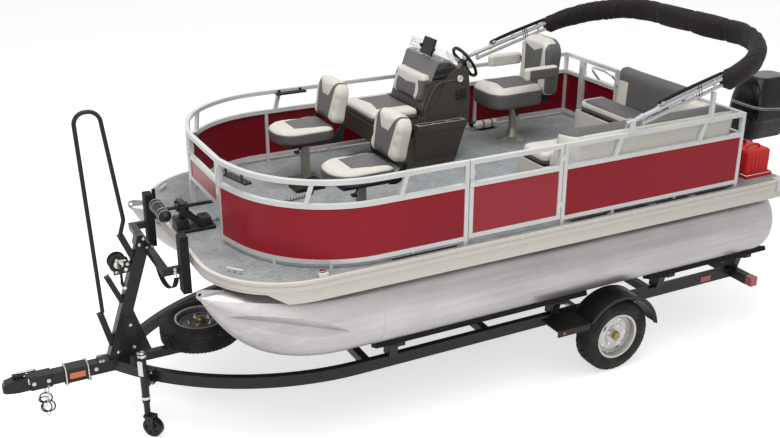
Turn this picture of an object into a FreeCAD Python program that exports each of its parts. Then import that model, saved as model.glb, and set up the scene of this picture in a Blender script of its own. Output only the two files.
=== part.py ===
"""Pontoon fishing boat standing on its single-axle trailer, as a parametric FreeCAD document.

Frame: +X towards the bow, +Y to port, +Z up. The origin is on the ground below the middle of the
overall length, on the centreline. All sizes are millimetres.
"""
import FreeCAD, Part
import math
import os
import re
from FreeCAD import Placement, Rotation, Vector

SIZES = {
    # deck, rub rail and pontoons
    "deck_top": 1387, "floor_thick": 25, "deck_bow": 2315, "deck_stern": -2430, "deck_half": 1195,
    "deck_corner": 600, "rim": 22, "band": 78, "skirt": 150, "skirt_fore": 2050,
    "tube_radius": 305, "tube_inset": 295, "tube_z": 980, "nose_start": 1237, "nose_length": 1183, "nose_sleeve": 16, "seam_step": 1,
    "beam_height": 62, "beam_width": 60, "beam_pitch": 395,
    # fence
    "fence_tube": 32, "fence_inset": 45, "fence_stern": -1930, "bottom_rail": 1418, "mid_rail": 1808,
    "top_rail": 1972, "bow_apex": 2100, "bow_radius": 2000, "corner_radius": 800, "panel_thick": 3,
    "gate_fore": 571, "gate_aft": -219, "bow_gate_half": 335, "gate_gap": 6, "bow_gate_low": 1640,
    "stern_gate_port": -360, "stern_gate_width": 530, "knuckle": 7,
    # seats
    "chair_x": 1055, "chair_port_y": 464, "chair_star_y": -588, "seat_top": 1840, "seat_thick": 95,
    "captain_x": -1025, "captain_y": -700, "captain_top": 1900,
    # fittings on the fence and the deck
    "tray_length": 270, "tray_depth": 58, "tray_thick": 14, "cleat_length": 120,
    # console and helm
    "console_y": -720, "console_half": 310, "console_aft": -311, "console_fore": 250, "console_ledge": 320,
    "side_step": 25, "cup_pitch": 148, "cup_wall": 16,
    "bench_fore": 530, "bench_top": 1895, "helm_x": -534, "helm_z": 2150, "helm_radius": 158,
    "helm_tilt": 32,
    # lounge
    "lounge_fore": -290, "lounge_aft": -1895, "lounge_gap": 32, "lounge_seat": 1800,
    "lounge_back": 2035, "lounge_inner": 480, "lounge_wall": 15, "bench_end": -330,
    # outboard
    "transom_x": -2950, "transom_top": 1320, "tilt_x": -2960, "tilt_z": 1345, "steer_x": -3050,
    "prop_z": 720, "prop_x": -3425, "prop_radius": 128,
    # bow motor, its foot pedal and the coiled lead between them
    "troll_x": 2415, "troll_rise": 178, "lead_radius": 10, "pedal_x": 1128, "pedal_y": -385, "pedal_half": 85,
    # folding top
    "top_pivot_x": -800, "top_pivot_z": 2080, "top_offset": 10, "top_slope": 15, "top_leg": 950,
    "top_corner": 700, "boot_radius": 68, "boot_start": 880,
    "ladder_y": -780, "ladder_half": 165, "ladder_length": 640, "ladder_lean": 41,
    # trailer
    "axle_x": -850, "wheel_radius": 305, "wheel_y": 1100, "tyre_width": 178, "rim_radius": 182,
    "rail_y": 880, "rail_low": 400, "rail_high": 490, "rail_width": 50, "rail_rear": -2360,
    "bend_start": 1280, "bend_radius": 1850, "tongue_front": 3450, "coupler_tip": 3635,
    "jack_turn": 47.4, "jack_out": 110, "jack_wheel_radius": 75, "caster_trail": 38, "spare_x": 2190,
}

# sizes that follow from two others, as "first sign second"
DERIVED = {"tube_y": "deck_half - tube_inset", "fence_y": "deck_half - fence_inset",
           "lounge_side": "fence_y - lounge_gap", "top_y": "fence_y + top_offset"}

doc = FreeCAD.newDocument("pontoon_boat")
sheet = doc.addObject("Spreadsheet::Sheet", "sizes")
for row, (alias, value) in enumerate(SIZES.items(), start=1):
    sheet.set(f"A{row}", alias)
    sheet.set(f"B{row}", str(value))
    sheet.setAlias(f"B{row}", alias)
doc.recompute()


class SheetValues:
    """Reads a driving dimension back from the spreadsheet by its alias."""

    def __getattr__(self, alias):
        if alias in DERIVED:
            first, sign, second = DERIVED[alias].split()
            step = getattr(self, second)
            return getattr(self, first) + (step if sign == "+" else -step)
        return float(getattr(sheet, alias))


D = SheetValues()
SUBPARTS = []


# ---------------------------------------------------------------- document helpers
def rule(text):
    """An expression in which each alias points at the spreadsheet."""
    def cell(found):
        word = found[0]
        if word in DERIVED:
            return f"({rule(DERIVED[word])})"
        return "sizes." + word if word in SIZES else word

    return re.sub(r"[a-z_]{2,}", cell, str(text))


def block(name, x, y, z):
    """A box between two expressions along each axis."""
    box = doc.addObject("Part::Box", name)
    for side, axis, (low, high) in zip(("Length", "Width", "Height"), "xyz", (x, y, z)):
        box.setExpression(side, f"({rule(high)}) - ({rule(low)})")
        box.setExpression(f"Placement.Base.{axis}", rule(low))
    return box


TURNS = {"x": Rotation(Vector(0, 0, 1), Vector(1, 0, 0)),
         "y": Rotation(Vector(0, 0, 1), Vector(0, 1, 0)),
         "z": Rotation()}


def rod(name, radius, along, low, high, x=0, y=0, z=0):
    """A cylinder along one axis from low to high, at the two other coordinates."""
    bar = doc.addObject("Part::Cylinder", name)
    bar.Placement = Placement(Vector(), TURNS[along])
    bar.setExpression("Radius", rule(radius))
    bar.setExpression("Height", f"({rule(high)}) - ({rule(low)})")
    for axis, place in zip("xyz", (x, y, z)):
        bar.setExpression(f"Placement.Base.{axis}", rule(low if axis == along else place))
    return bar


def fuse(name, pieces):
    """One solid (or several that don't touch) out of its pieces."""
    union = doc.addObject("Part::MultiFuse", name)
    union.Shapes = pieces
    return union


def cut(name, base, tool):
    difference = doc.addObject("Part::Cut", name)
    difference.Base = base
    difference.Tool = tool
    return difference


def feature(name, shape):
    """A shape that no primitive or sketch gives, such as a bent rail or a cushion."""
    item = doc.addObject("Part::Feature", name)
    item.Shape = shape
    return item


def subpart(label, item):
    """Marks a finished sub-part: its label names the file it is written to."""
    item.Label = label
    SUBPARTS.append(item)
    return item


# ---------------------------------------------------------------- shape helpers
def prism(points, direction):
    """A straight extrusion of a closed polygon."""
    corners = [Vector(*point) for point in points]
    return Part.Face(Part.makePolygon(corners + corners[:1])).extrude(Vector(*direction))


def side_prism(points, low, high):
    """An extrusion along Y of a profile drawn as (x, z)."""
    return prism([(x, low, z) for x, z in points], (0, high - low, 0))


def bar_between(start, end, radius):
    span = Vector(*end) - Vector(*start)
    return Part.makeCylinder(radius, span.Length, Vector(*start), span)


def square_bar(start, end, width, height=None):
    """A square tube between two points in a plane of constant Y."""
    height = height or width
    start, end = Vector(*start), Vector(*end)
    span = end - start
    normal = Vector(-span.z, 0, span.x).normalize() * (height / 2)
    side = Vector(0, width / 2, 0)
    corners = [start + normal - side, start - normal - side, start - normal + side, start + normal + side]
    return Part.Face(Part.makePolygon(corners + corners[:1])).extrude(span)


def cushion(x, y, z, corner, edge):
    """A box pad with rounded upright corners and a softened top edge."""
    pad = Part.makeBox(x[1] - x[0], y[1] - y[0], z[1] - z[0], Vector(x[0], y[0], z[0]))
    upright = [e for e in pad.Edges if abs(e.tangentAt(e.FirstParameter).z) > 0.9]
    pad = pad.makeFillet(corner, upright)
    top = [e for e in pad.Edges if abs(e.BoundBox.ZMin - z[1]) < 0.01 and e.BoundBox.ZLength < 0.01]
    return pad.makeFillet(edge, top)


def round_path(points, radii):
    """A wire of straight runs joined by tangent arcs, one radius for each inner point."""
    corners = [Vector(*point) for point in points]
    edges = []
    start = corners[0]
    for before, corner, after, radius in zip(corners, corners[1:], corners[2:], radii):
        towards = (before - corner).normalize()
        away = (after - corner).normalize()
        half = math.acos(max(-1, min(1, towards.dot(away)))) / 2
        reach = radius / math.tan(half)
        centre = corner + (towards + away).normalize() * (radius / math.sin(half))
        middle = centre + (corner - centre).normalize() * radius
        edges.append(Part.LineSegment(start, corner + towards * reach).toShape())
        edges.append(Part.Arc(corner + towards * reach, middle, corner + away * reach).toShape())
        start = corner + away * reach
    edges.append(Part.LineSegment(start, corners[-1]).toShape())
    return Part.Wire(edges)


def tube_along(path, radius):
    """A round bar swept along a wire of lines and tangent arcs."""
    first = path.Edges[0]
    start = first.valueAt(first.FirstParameter)
    ring = Part.Wire(Part.Circle(start, first.tangentAt(first.FirstParameter), radius).toShape())
    return Part.Wire(path).makePipeShell([ring], True, True)


def joined(shapes):
    whole = shapes[0].multiFuse(shapes[1:]) if len(shapes) > 1 else shapes[0]
    return whole.removeSplitter()


def moved(shape, turn_deg=0, at=(0, 0, 0), axis=(0, 0, 1)):
    """A copy turned about the origin, then moved."""
    copy = shape.copy()
    copy.Placement = Placement(Vector(*at), Rotation(Vector(*axis), turn_deg)).multiply(copy.Placement)
    return copy


# ---------------------------------------------------------------- hull, deck and rub rail
def deck_outline(grow, z):
    """The deck's plan as a closed wire at one height, grown outwards by a margin."""
    bow, stern, half = D.deck_bow + grow, D.deck_stern, D.deck_half + grow
    corner = D.deck_corner + grow
    centre_x, centre_y = bow - corner, half - corner
    lean = corner * math.sqrt(0.5)
    p = [Vector(stern, half, z), Vector(centre_x, half, z), Vector(bow, centre_y, z),
         Vector(bow, -centre_y, z), Vector(centre_x, -half, z), Vector(stern, -half, z)]
    port_middle = Vector(centre_x + lean, centre_y + lean, z)
    star_middle = Vector(centre_x + lean, -centre_y - lean, z)
    return Part.Wire([Part.LineSegment(p[0], p[1]).toShape(), Part.Arc(p[1], port_middle, p[2]).toShape(),
                      Part.LineSegment(p[2], p[3]).toShape(), Part.Arc(p[3], star_middle, p[4]).toShape(),
                      Part.LineSegment(p[4], p[5]).toShape(), Part.LineSegment(p[5], p[0]).toShape()])


def deck_slab(grow, low, high):
    return Part.Face(deck_outline(grow, low)).extrude(Vector(0, 0, high - low))


def make_deck():
    top, thick = D.deck_top, D.floor_thick
    subpart("deck_floor", feature("DeckFloor", deck_slab(0, top - thick, top)))
    # rub rail: a band all round, open at the stern, with a deeper skirt along each side
    band = deck_slab(D.rim, top - D.band, top + 3).cut(deck_slab(0, top - D.band - 1, top + 4))
    low, high = top - D.skirt, top - D.band + 1
    ring = deck_slab(D.rim - 4, low, high).cut(deck_slab(4, low - 1, high + 1))
    reach = 2 * D.deck_half
    sides = side_prism([(D.deck_stern, low), (D.skirt_fore - 130, low), (D.skirt_fore, high), (D.deck_stern, high)],
                       -reach, reach)
    skirts = ring.common(sides)
    reach = D.deck_half + D.rim
    stern_band = Part.makeBox(20, 2 * reach, D.band, Vector(D.deck_stern - 20, -reach, top - D.band))
    lip = deck_slab(D.rim + 5, top - 12, top + 3).cut(deck_slab(D.rim - 1, top - 13, top + 4))
    rail = joined([band, stern_band, skirts, lip])
    for drop in (22, 62):
        groove = deck_slab(D.rim + 1, top - drop - 5, top - drop).cut(deck_slab(D.rim - 3, top - drop - 6, top - drop + 1))
        rail = rail.cut(groove)
    subpart("rub_rail", feature("RubRail", rail))


def make_deck_frame(hulls):
    """Crossmembers on risers along the pontoons, and the pod that carries the engine."""
    low, high = "deck_top - floor_thick - beam_height", "deck_top - floor_thick"
    pieces = []
    for index in range(12):
        x = f"deck_stern + 60 + {index} * beam_pitch"
        reach = "deck_half - 15" if index < 11 else "deck_half - 260"
        pieces.append(block(f"Beam{index}", (x, f"{x} + beam_width"), (f"-({reach})", reach), (low, high)))
    for side, word in ((1, "Port"), (-1, "Star")):
        for step, offset in ((0, -55), (1, 55)):
            y = f"{side} * tube_y + {offset}"
            riser_low = "tube_z + sqrt(tube_radius^2 - 49^2) - 6"
            pieces.append(block(f"Riser{word}{step}", ("deck_stern + 30", "nose_start + 700"),
                                (f"{y} - 6", f"{y} + 6"), (riser_low, low)))
    pieces.append(block("Pod", ("transom_x + 190", "deck_stern + 900"), (-250, 250), (1010, low)))
    pieces.append(block("PodWell", ("transom_x + 60", "transom_x + 191"), (-250, 250), (1010, 1160)))
    pieces.append(block("Transom", ("transom_x", "transom_x + 61"), (-270, 270), (940, "transom_top")))
    subpart("deck_frame", cut("DeckFrame", fuse("DeckFrameBody", pieces), hulls))


# share of the nose's length, then the hull's section there in tube radii from the tube's axis:
# shoulder (across, up), widest point of the side (across, up), keel (up) and crown (up)
NOSE = ((0.0, (0.80, 0.60), (0.89, -0.456), -1.0, 1.0), (0.2, (0.79, 0.62), (0.885, -0.44), -0.998, 1.0),
        (0.4, (0.75, 0.66), (0.83, -0.42), -0.95, 0.99), (0.6, (0.62, 0.75), (0.68, -0.22), -0.78, 0.98),
        (0.8, (0.40, 0.86), (0.44, 0.15), -0.26, 1.0), (1.0, (0.05, 0.96), (0.05, 0.93), 0.88, 0.99))


def nose_point(share, across, up):
    """A point of the port nose, from a share of its length and radii across and up. It sleeves into the tube."""
    start, radius = D.nose_start - D.nose_sleeve, D.tube_radius - D.seam_step
    return Vector(start + share * (D.nose_length + D.nose_sleeve), D.tube_y + across * radius, D.tube_z + up * radius)


def nose_section(share, shoulder, side, keel, crown):
    """Two side arcs that meet at the keel, under a flatter top arc."""
    bottom, top = nose_point(share, 0, keel), nose_point(share, 0, crown)
    corners = [nose_point(share, hand * shoulder[0], shoulder[1]) for hand in (1, -1)]
    sides = [nose_point(share, hand * side[0], side[1]) for hand in (1, -1)]
    return Part.Wire([Part.Arc(bottom, sides[0], corners[0]).toShape(), Part.Arc(corners[0], top, corners[1]).toShape(),
                      Part.Arc(corners[1], sides[1], bottom).toShape()])


# the long pocket in the nose's side: the ends of its crease, and one point of its upper and lower
# edge, as share of the nose's length and height in tube radii
CREASE, POCKET_EDGES = ((0.88, 0.57), (0.225, -0.12)), ((0.68, 0.53), (0.70, 0.22))


def on_skin(nose, hand, share, up):
    inside = nose_point(share, 0, up)
    ray = Part.LineSegment(inside, inside + Vector(0, hand * 2 * D.tube_radius, 0)).toShape()
    return max((corner.Point for corner in ray.common(nose).Vertexes), key=lambda point: abs(point.y - inside.y))


def nose_pocket(nose, hand):
    """The wedge that presses the pocket; its crease is straight and its ends run out on the skin."""
    fore, aft = [on_skin(nose, hand, *place) for place in CREASE]
    middle = fore + (aft - fore) * 0.35
    above, below = [middle + (on_skin(nose, hand, *place) - middle) * 4 for place in POCKET_EDGES]
    fore, aft = fore + (fore - aft) * 0.3, aft + (aft - fore) * 0.3
    faces = [Part.Face(Part.makePolygon([a, b, c, a]))
             for a, b, c in ((fore, aft, above), (fore, below, aft), (fore, above, below), (aft, below, above))]
    wedge = Part.makeSolid(Part.makeShell(faces))
    if wedge.Volume < 0:
        wedge.reverse()
    return wedge


def pontoon():
    radius, y, z = D.tube_radius, D.tube_y, D.tube_z
    tube = Part.makeCylinder(radius, D.nose_start - D.deck_stern, Vector(D.deck_stern, y, z), Vector(1, 0, 0))
    rear_edge = [e for e in tube.Edges if abs(e.BoundBox.XMax - D.deck_stern) < 0.01]
    tube = tube.makeFillet(90, rear_edge)
    nose = Part.makeLoft([nose_section(*row) for row in NOSE], True, False, False, 3)
    nose = nose.cut([nose_pocket(nose, hand) for hand in (1, -1)])
    tip = D.nose_start + D.nose_length
    eye = side_prism([(tip - 160, z + radius - 40), (tip - 20, z + radius - 60), (tip + 30, z + radius),
                      (tip + 20, z + radius + 40), (tip - 20, z + radius + 45), (tip - 160, z + radius + 8)],
                     y - 5, y + 5)
    keel = Part.makeBox(D.nose_start - D.deck_stern - 150, 12, 25,
                        Vector(D.deck_stern + 120, y - 6, z - radius - 14))
    hole = Part.makeCylinder(13, 40, Vector(tip + 5, y - 20, z + radius + 15), Vector(0, 1, 0))
    return joined([tube, nose, eye, keel]).cut(hole)


def make_pontoons():
    port = pontoon()
    star = port.mirror(Vector(), Vector(0, 1, 0))
    return subpart("pontoons", feature("Pontoons", Part.makeCompound([port, star])))


# ---------------------------------------------------------------- fence
def corner_centre():
    """Centre of the bow corner's arc, tangent to the side and to the wide bow arc."""
    centre_y = D.fence_y - D.corner_radius
    reach = math.sqrt((D.bow_radius - D.corner_radius) ** 2 - centre_y ** 2)
    return D.bow_apex - D.bow_radius + reach, centre_y


def bow_edges(offset, x_end, z):
    """Plan edges of the port bow fence from the bow gate back to x_end, moved outwards by offset."""
    cx, cy = corner_centre()
    bow_cx = D.bow_apex - D.bow_radius
    wide, tight = D.bow_radius + offset, D.corner_radius + offset
    meet = math.atan2(cy, cx - bow_cx)
    gate = math.asin(D.bow_gate_half / wide)

    def on_arc(centre, radius, angle):
        return Vector(centre[0] + radius * math.cos(angle), centre[1] + radius * math.sin(angle), z)

    start, knee = on_arc((bow_cx, 0), wide, gate), on_arc((bow_cx, 0), wide, meet)
    side = Vector(cx, D.fence_y + offset, z)
    return [Part.Arc(start, on_arc((bow_cx, 0), wide, (gate + meet) / 2), knee).toShape(),
            Part.Arc(knee, on_arc((cx, cy), tight, (meet + math.pi / 2) / 2), side).toShape(),
            Part.LineSegment(side, Vector(x_end, D.fence_y + offset, z)).toShape()]


def bow_strip(inner, outer, x_end, low, high):
    """A strip that follows the bow fence in plan, between two offsets and two heights."""
    inside, outside = bow_edges(inner, x_end, low), bow_edges(outer, x_end, low)
    start = Part.LineSegment(outside[0].Vertexes[0].Point, inside[0].Vertexes[0].Point).toShape()
    end = Part.LineSegment(inside[-1].Vertexes[-1].Point, outside[-1].Vertexes[-1].Point).toShape()
    outline = Part.Wire(Part.__sortEdges__(inside + [end] + outside + [start]))
    return Part.Face(outline).extrude(Vector(0, 0, high - low))


def upright(x, y, low, high, turn=0, width=None):
    """A square post, turned about its own axis."""
    width = width or D.fence_tube
    post = Part.makeBox(width, width, high - low, Vector(-width / 2, -width / 2, 0))
    return moved(post, turn, (x, y, low))


def raked_stub(x, y, turn=0):
    """A short post between mid and top rail that leans aft."""
    w, low, high = D.fence_tube, D.mid_rail + D.fence_tube, D.top_rail
    lean = 0.3 * (high - low)
    profile = [(w / 2, 0), (-w / 2, 0), (-w / 2 - lean, high - low), (w / 2 - lean, high - low)]
    return moved(side_prism(profile, -w / 2 + 3, w / 2 - 3), turn, (x, y, low))


def bow_place(angle_deg):
    """Plan position and heading on the corner arc, 90 degrees being the start of the straight side."""
    cx, cy = corner_centre()
    angle = math.radians(angle_deg)
    return (cx + D.corner_radius * math.cos(angle), cy + D.corner_radius * math.sin(angle), angle_deg - 90)


def fence_from_bow(x_end, stub_places, post_places, foot_places):
    """Frame of a fence that runs from the bow gate along the port side to x_end."""
    t = D.fence_tube
    half = t / 2
    rails = [bow_strip(-half, half, x_end, low, low + t) for low in (D.bottom_rail, D.mid_rail, D.top_rail)]
    gate_x = D.bow_apex - D.bow_radius + math.sqrt(D.bow_radius ** 2 - D.bow_gate_half ** 2)
    posts = [upright(gate_x - 1, D.bow_gate_half + half, D.deck_top, D.top_rail + t),
             upright(x_end + half, D.fence_y, D.deck_top, D.top_rail + t)]
    posts += [raked_stub(*place) for place in stub_places]
    posts += [upright(x, y, D.deck_top, D.mid_rail + 1, turn, t - 6) for x, y, turn in post_places]
    posts += [upright(x, y, D.deck_top, D.bottom_rail + 1, turn, 24) for x, y, turn in foot_places]
    return joined(rails + posts)


def straight_fence(x_low, x_high, stubs, feet):
    """A straight stretch of side fence with a post at each end."""
    t = D.fence_tube
    rails = [Part.makeBox(x_high - x_low, t, t, Vector(x_low, D.fence_y - t / 2, low))
             for low in (D.bottom_rail, D.mid_rail, D.top_rail)]
    posts = [upright(x, D.fence_y, D.deck_top, D.top_rail + t) for x in (x_low + t / 2, x_high - t / 2)]
    posts += [raked_stub(x, D.fence_y) for x in stubs]
    posts += [upright(x, D.fence_y, D.deck_top, D.bottom_rail + 1, 0, 24) for x in feet]
    return joined(rails + posts)


def hinge_leaf(x, y, levels, reach_x, reach_y, pins=()):
    """Knuckles on a hinge line with a leaf that reaches to the tube beside it; pins or a bore for them."""
    k = D.knuckle
    pieces = [Part.makeCylinder(3, high - low, Vector(x, y, low)) for low, high in pins]
    for low, high in levels:
        pieces.append(Part.makeCylinder(k, high - low, Vector(x, y, low)))
        corner = Vector(min(x, x + reach_x), min(y, y + reach_y), low)
        pieces.append(Part.makeBox(abs(reach_x), abs(reach_y), high - low, corner))
    leaf = joined(pieces)
    return leaf if pins else leaf.cut(Part.makeCylinder(3.05, 900, Vector(x, y, D.deck_top)))


GATE_LEVELS = ((1500, 1530), (1900, 1930))
POST_LEVELS = ((1531, 1560), (1869, 1899))
PINS = ((1500, 1560), (1869, 1930))
BOW_GATE_LEVELS = ((1870, 1900), (1700, 1730))
BOW_POST_LEVELS = ((1839, 1869), (1731, 1760))
BOW_PINS = ((1839, 1900), (1700, 1760))


def make_fences():
    t, half, k = D.fence_tube, D.fence_tube / 2, D.knuckle
    curve = [bow_place(angle) for angle in (38, 66)]
    low, high = D.bottom_rail + t, D.mid_rail

    port_bow = fence_from_bow(D.gate_fore, [bow_place(55), (1090, D.fence_y, 0)], [],
                              curve + [(1000, D.fence_y, 0)])
    subpart("fence_port_bow", feature("FencePortBow", port_bow))

    hinge_y = D.fence_y - half - k
    aft_hinge = (D.gate_aft + D.gate_gap / 2, hinge_y)
    post_leaf = hinge_leaf(*aft_hinge, POST_LEVELS, -24, k, PINS)
    port_stern = straight_fence(D.fence_stern - half, D.gate_aft, (-690, -1500), (-700, -1300))
    subpart("fence_port_stern", feature("FencePortStern", joined([port_stern, post_leaf])))

    star = fence_from_bow(D.fence_stern - half, [bow_place(40), (1085, D.fence_y, 0), (-50, D.fence_y, 0),
                                                 (-690, D.fence_y, 0), (-1500, D.fence_y, 0)],
                          [(1170, D.fence_y, 0), (100, D.fence_y, 0), (-900, D.fence_y, 0)],
                          curve + [(600, D.fence_y, 0), (-400, D.fence_y, 0), (-1400, D.fence_y, 0)])
    star = star.mirror(Vector(), Vector(0, 1, 0))
    bow_gate_x = D.bow_apex - D.bow_radius + math.sqrt(D.bow_radius ** 2 - D.bow_gate_half ** 2)
    bow_hinge = (bow_gate_x - 1 - half - k, -D.bow_gate_half + D.gate_gap / 2)
    bow_post_leaf = hinge_leaf(*bow_hinge, BOW_POST_LEVELS, k, -24, BOW_PINS)
    subpart("fence_starboard", feature("FenceStarboard", joined([star, bow_post_leaf])))

    # stern fence: from the port corner to the stern gate, and a short piece by the starboard corner
    x = D.fence_stern
    gate_port, gate_star = D.stern_gate_port, D.stern_gate_port - D.stern_gate_width
    side = D.fence_y - half
    stretches = []
    for y_low, y_high, posts in ((gate_port, side, (gate_port + half,)), (-side, gate_star, (gate_star - half,))):
        pieces = [Part.makeBox(t, y_high - y_low, t, Vector(x - half, y_low, z))
                  for z in (D.bottom_rail, D.mid_rail, D.top_rail)]
        pieces += [upright(x, y, D.deck_top, D.top_rail + t) for y in posts]
        stretches.append(joined(pieces))
    stern_hinge = (x + half + k, gate_port - D.gate_gap / 2)
    stern_post_leaf = hinge_leaf(*stern_hinge, POST_LEVELS, -k, 24, PINS)
    stretches[0] = joined([stretches[0], stern_post_leaf])
    subpart("fence_stern", feature("FenceStern", Part.makeCompound(stretches)))

    # red panels between the bottom and the mid rail
    skin = (7, 7 + D.panel_thick)
    port_skin = bow_strip(*skin, D.gate_fore + t, low, high).cut(port_bow)
    star_skin = bow_strip(*skin, D.fence_stern + half, low, high).mirror(Vector(), Vector(0, 1, 0))
    subpart("panel_starboard", feature("PanelStarboard", star_skin.cut(star)))
    y = D.fence_y + 7
    length = D.gate_aft - t - (D.fence_stern + half)
    port_flat = Part.makeBox(length, D.panel_thick, high - low, Vector(D.fence_stern + half, y, low))
    stern_panels = [Part.makeBox(D.panel_thick, width, high - low, Vector(x - 10, y_low, low))
                    for y_low, width in ((gate_port + t, side - gate_port - t),
                                         (-side, gate_star - t + side))]
    subpart("panel_port", feature("PanelPort", Part.makeCompound([port_skin, port_flat] + stern_panels)))

    make_gates(aft_hinge, bow_hinge, stern_hinge, bow_gate_x - 1)


def framed_gate(width, low, bars, panels, thick):
    """A gate drawn from its hinge side along +X, centred on Y = 0, with bars and filled stretches."""
    t = D.fence_tube
    high = D.top_rail + t
    pieces = [Part.makeBox(t, t, high - low, Vector(x, -t / 2, low)) for x in (0, width - t)]
    pieces += [Part.makeBox(width, t, t, Vector(0, -t / 2, z)) for z in bars]
    for z_low, z_high, offset in panels:
        pieces.append(Part.makeBox(width - 2 * t, thick, z_high - z_low, Vector(t, offset, z_low)))
    return joined(pieces)


def make_gates(aft_hinge, bow_hinge, stern_hinge, bow_gate_x):
    t, half, k, gap = D.fence_tube, D.fence_tube / 2, D.knuckle, D.gate_gap
    low = D.bottom_rail + 12
    bars = (low, D.mid_rail, D.top_rail)
    width = D.gate_fore - D.gate_aft - 2 * gap
    port = framed_gate(width, low, bars, ((low + t, D.mid_rail, 7),), D.panel_thick)
    port = moved(port, 0, (D.gate_aft + gap, D.fence_y, 0))
    leaf = hinge_leaf(*aft_hinge, GATE_LEVELS, 24, k)
    latch = Part.makeBox(60, 14, 34, Vector(D.gate_fore - gap - 62, D.fence_y - half - 14, 1880))
    subpart("gate_port", feature("GatePort", joined([port, leaf, latch])))

    width = 2 * (D.bow_gate_half - gap)
    bow_low = D.bow_gate_low
    bow = framed_gate(width, bow_low, (bow_low, D.mid_rail, D.top_rail),
                      ((bow_low + t, D.mid_rail, -10),), D.panel_thick)
    bow = moved(bow, 90, (bow_gate_x, -D.bow_gate_half + gap, 0))
    leaf = hinge_leaf(*bow_hinge, BOW_GATE_LEVELS, k, 24)
    subpart("gate_bow", feature("GateBow", joined([bow, leaf])))

    width = D.stern_gate_width - 2 * gap
    stern = framed_gate(width, low, bars, ((low + t, D.mid_rail, -10),), D.panel_thick)
    stern = moved(stern, -90, (D.fence_stern, D.stern_gate_port - gap, 0))
    leaf = hinge_leaf(*stern_hinge, GATE_LEVELS, -k, -24)
    subpart("gate_stern", feature("GateStern", joined([stern, leaf])))


# ---------------------------------------------------------------- seats
def swivel_post(x, y, top):
    """A square seat post on a rectangular deck plate."""
    plate = Part.makeBox(230, 180, 12, Vector(x - 115, y - 90, D.deck_top))
    post = Part.makeBox(58, 58, top - D.deck_top - 12, Vector(x - 29, y - 29, D.deck_top + 12))
    return joined([plate, post])


def make_pedestals():
    mount = D.seat_top - D.seat_thick - 60
    posts = [swivel_post(D.chair_x, y, mount) for y in (D.chair_port_y, D.chair_star_y)]
    # the helm seat stands on a trumpet foot: a revolved profile of radius and height
    top = D.captain_top - D.seat_thick - 85
    profile = [(0, 0), (120, 0), (120, 8), (62, 40), (34, 110), (30, top - D.deck_top), (0, top - D.deck_top)]
    points = [Vector(r, 0, z) for r, z in profile]
    trumpet = Part.Face(Part.makePolygon(points + points[:1])).revolve(Vector(), Vector(0, 0, 1), 360)
    posts.append(moved(trumpet, 0, (D.captain_x, D.captain_y, D.deck_top)))
    subpart("seat_pedestals", feature("SeatPedestals", Part.makeCompound(posts)))


def chair_seat(x, y):
    """Swivel plate, moulded shell, cushion and the two hinge cheeks of a fold-down chair."""
    top, bottom = D.seat_top, D.seat_top - D.seat_thick
    pad = cushion((x - 215, x + 300), (y - 225, y + 225), (bottom, top), 90, 25)
    shell = Part.makeBox(400, 340, 30, Vector(x - 205, y - 170, bottom - 30))
    plate = joined([Part.makeBox(180, 180, 14, Vector(x - 90, y - 90, bottom - 44)),
                    Part.makeCylinder(55, 17, Vector(x, y, bottom - 60))])
    cheeks = [Part.makeBox(60, 8, 120, Vector(x - 262, y + side, top - 85)) for side in (-214, 206)]
    ties = [Part.makeBox(80, 24, 20, Vector(x - 262, y + side, bottom + 5)) for side in (-214, 190)]
    bore = Part.makeCylinder(5.05, 460, Vector(x - 235, y - 230, top + 26), Vector(0, 1, 0))
    return joined([pad, shell, plate] + cheeks + ties).cut(bore)


def chair_back(x, y):
    """The back that folds forward, leaning a little aft, on a pin through the cheeks."""
    hinge_x, hinge_z = x - 235, D.seat_top + 26
    pad = cushion((-20, 70), (-195, 195), (0, 430), 30, 25)
    pad = moved(pad, 180, (0, 0, 0))
    pad = moved(pad, -9, (0, 0, -6), (0, 1, 0))
    pad = moved(pad, 0, (hinge_x, y, hinge_z))
    pin = Part.makeCylinder(5, 2 * 214, Vector(hinge_x, y - 214, hinge_z), Vector(0, 1, 0))
    return joined([pad, pin])


def make_chairs():
    for word, y in (("port", D.chair_port_y), ("starboard", D.chair_star_y)):
        subpart(f"chair_{word}_seat", feature(f"ChairSeat{word.title()}", chair_seat(D.chair_x, y)))
        subpart(f"chair_{word}_back", feature(f"ChairBack{word.title()}", chair_back(D.chair_x, y)))


def make_captain_seat():
    x, y, top = D.captain_x, D.captain_y, D.captain_top
    bottom = top - D.seat_thick - 55
    pad = cushion((x - 200, x + 360), (y - 250, y + 250), (bottom, top), 110, 40)
    plate = Part.makeBox(200, 200, 30, Vector(x - 100, y - 100, bottom - 30))
    back = cushion((x - 330, x - 215), (y - 235, y + 235), (bottom + 20, top + 440), 45, 40)
    tie = Part.makeBox(60, 300, 60, Vector(x - 250, y - 150, bottom + 30))
    arm_z = top + 150
    hinge_x, hinge_z = x - 215, arm_z + 33
    pivot = Part.makeCylinder(10, 2 * 290, Vector(hinge_x, y - 290, hinge_z), Vector(0, 1, 0))
    arms = []
    for side in (1, -1):
        inner = y + side * 250
        low = min(inner, inner + side * 62)
        arm = cushion((x - 245, x + 90), (low, low + 62), (arm_z, arm_z + 66), 28, 18)
        arms.append(arm.cut(Part.makeCylinder(10.05, 600, Vector(hinge_x, y - 300, hinge_z), Vector(0, 1, 0))))
    subpart("captain_seat", feature("CaptainSeat", joined([pad, plate, back, tie, pivot])))
    subpart("captain_armrests", feature("CaptainArmrests", Part.makeCompound(arms)))


# ---------------------------------------------------------------- console and helm
LID_PIN = (7, 9)  # a lid's hinge pin: in from its rear edge, and down from its top


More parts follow.
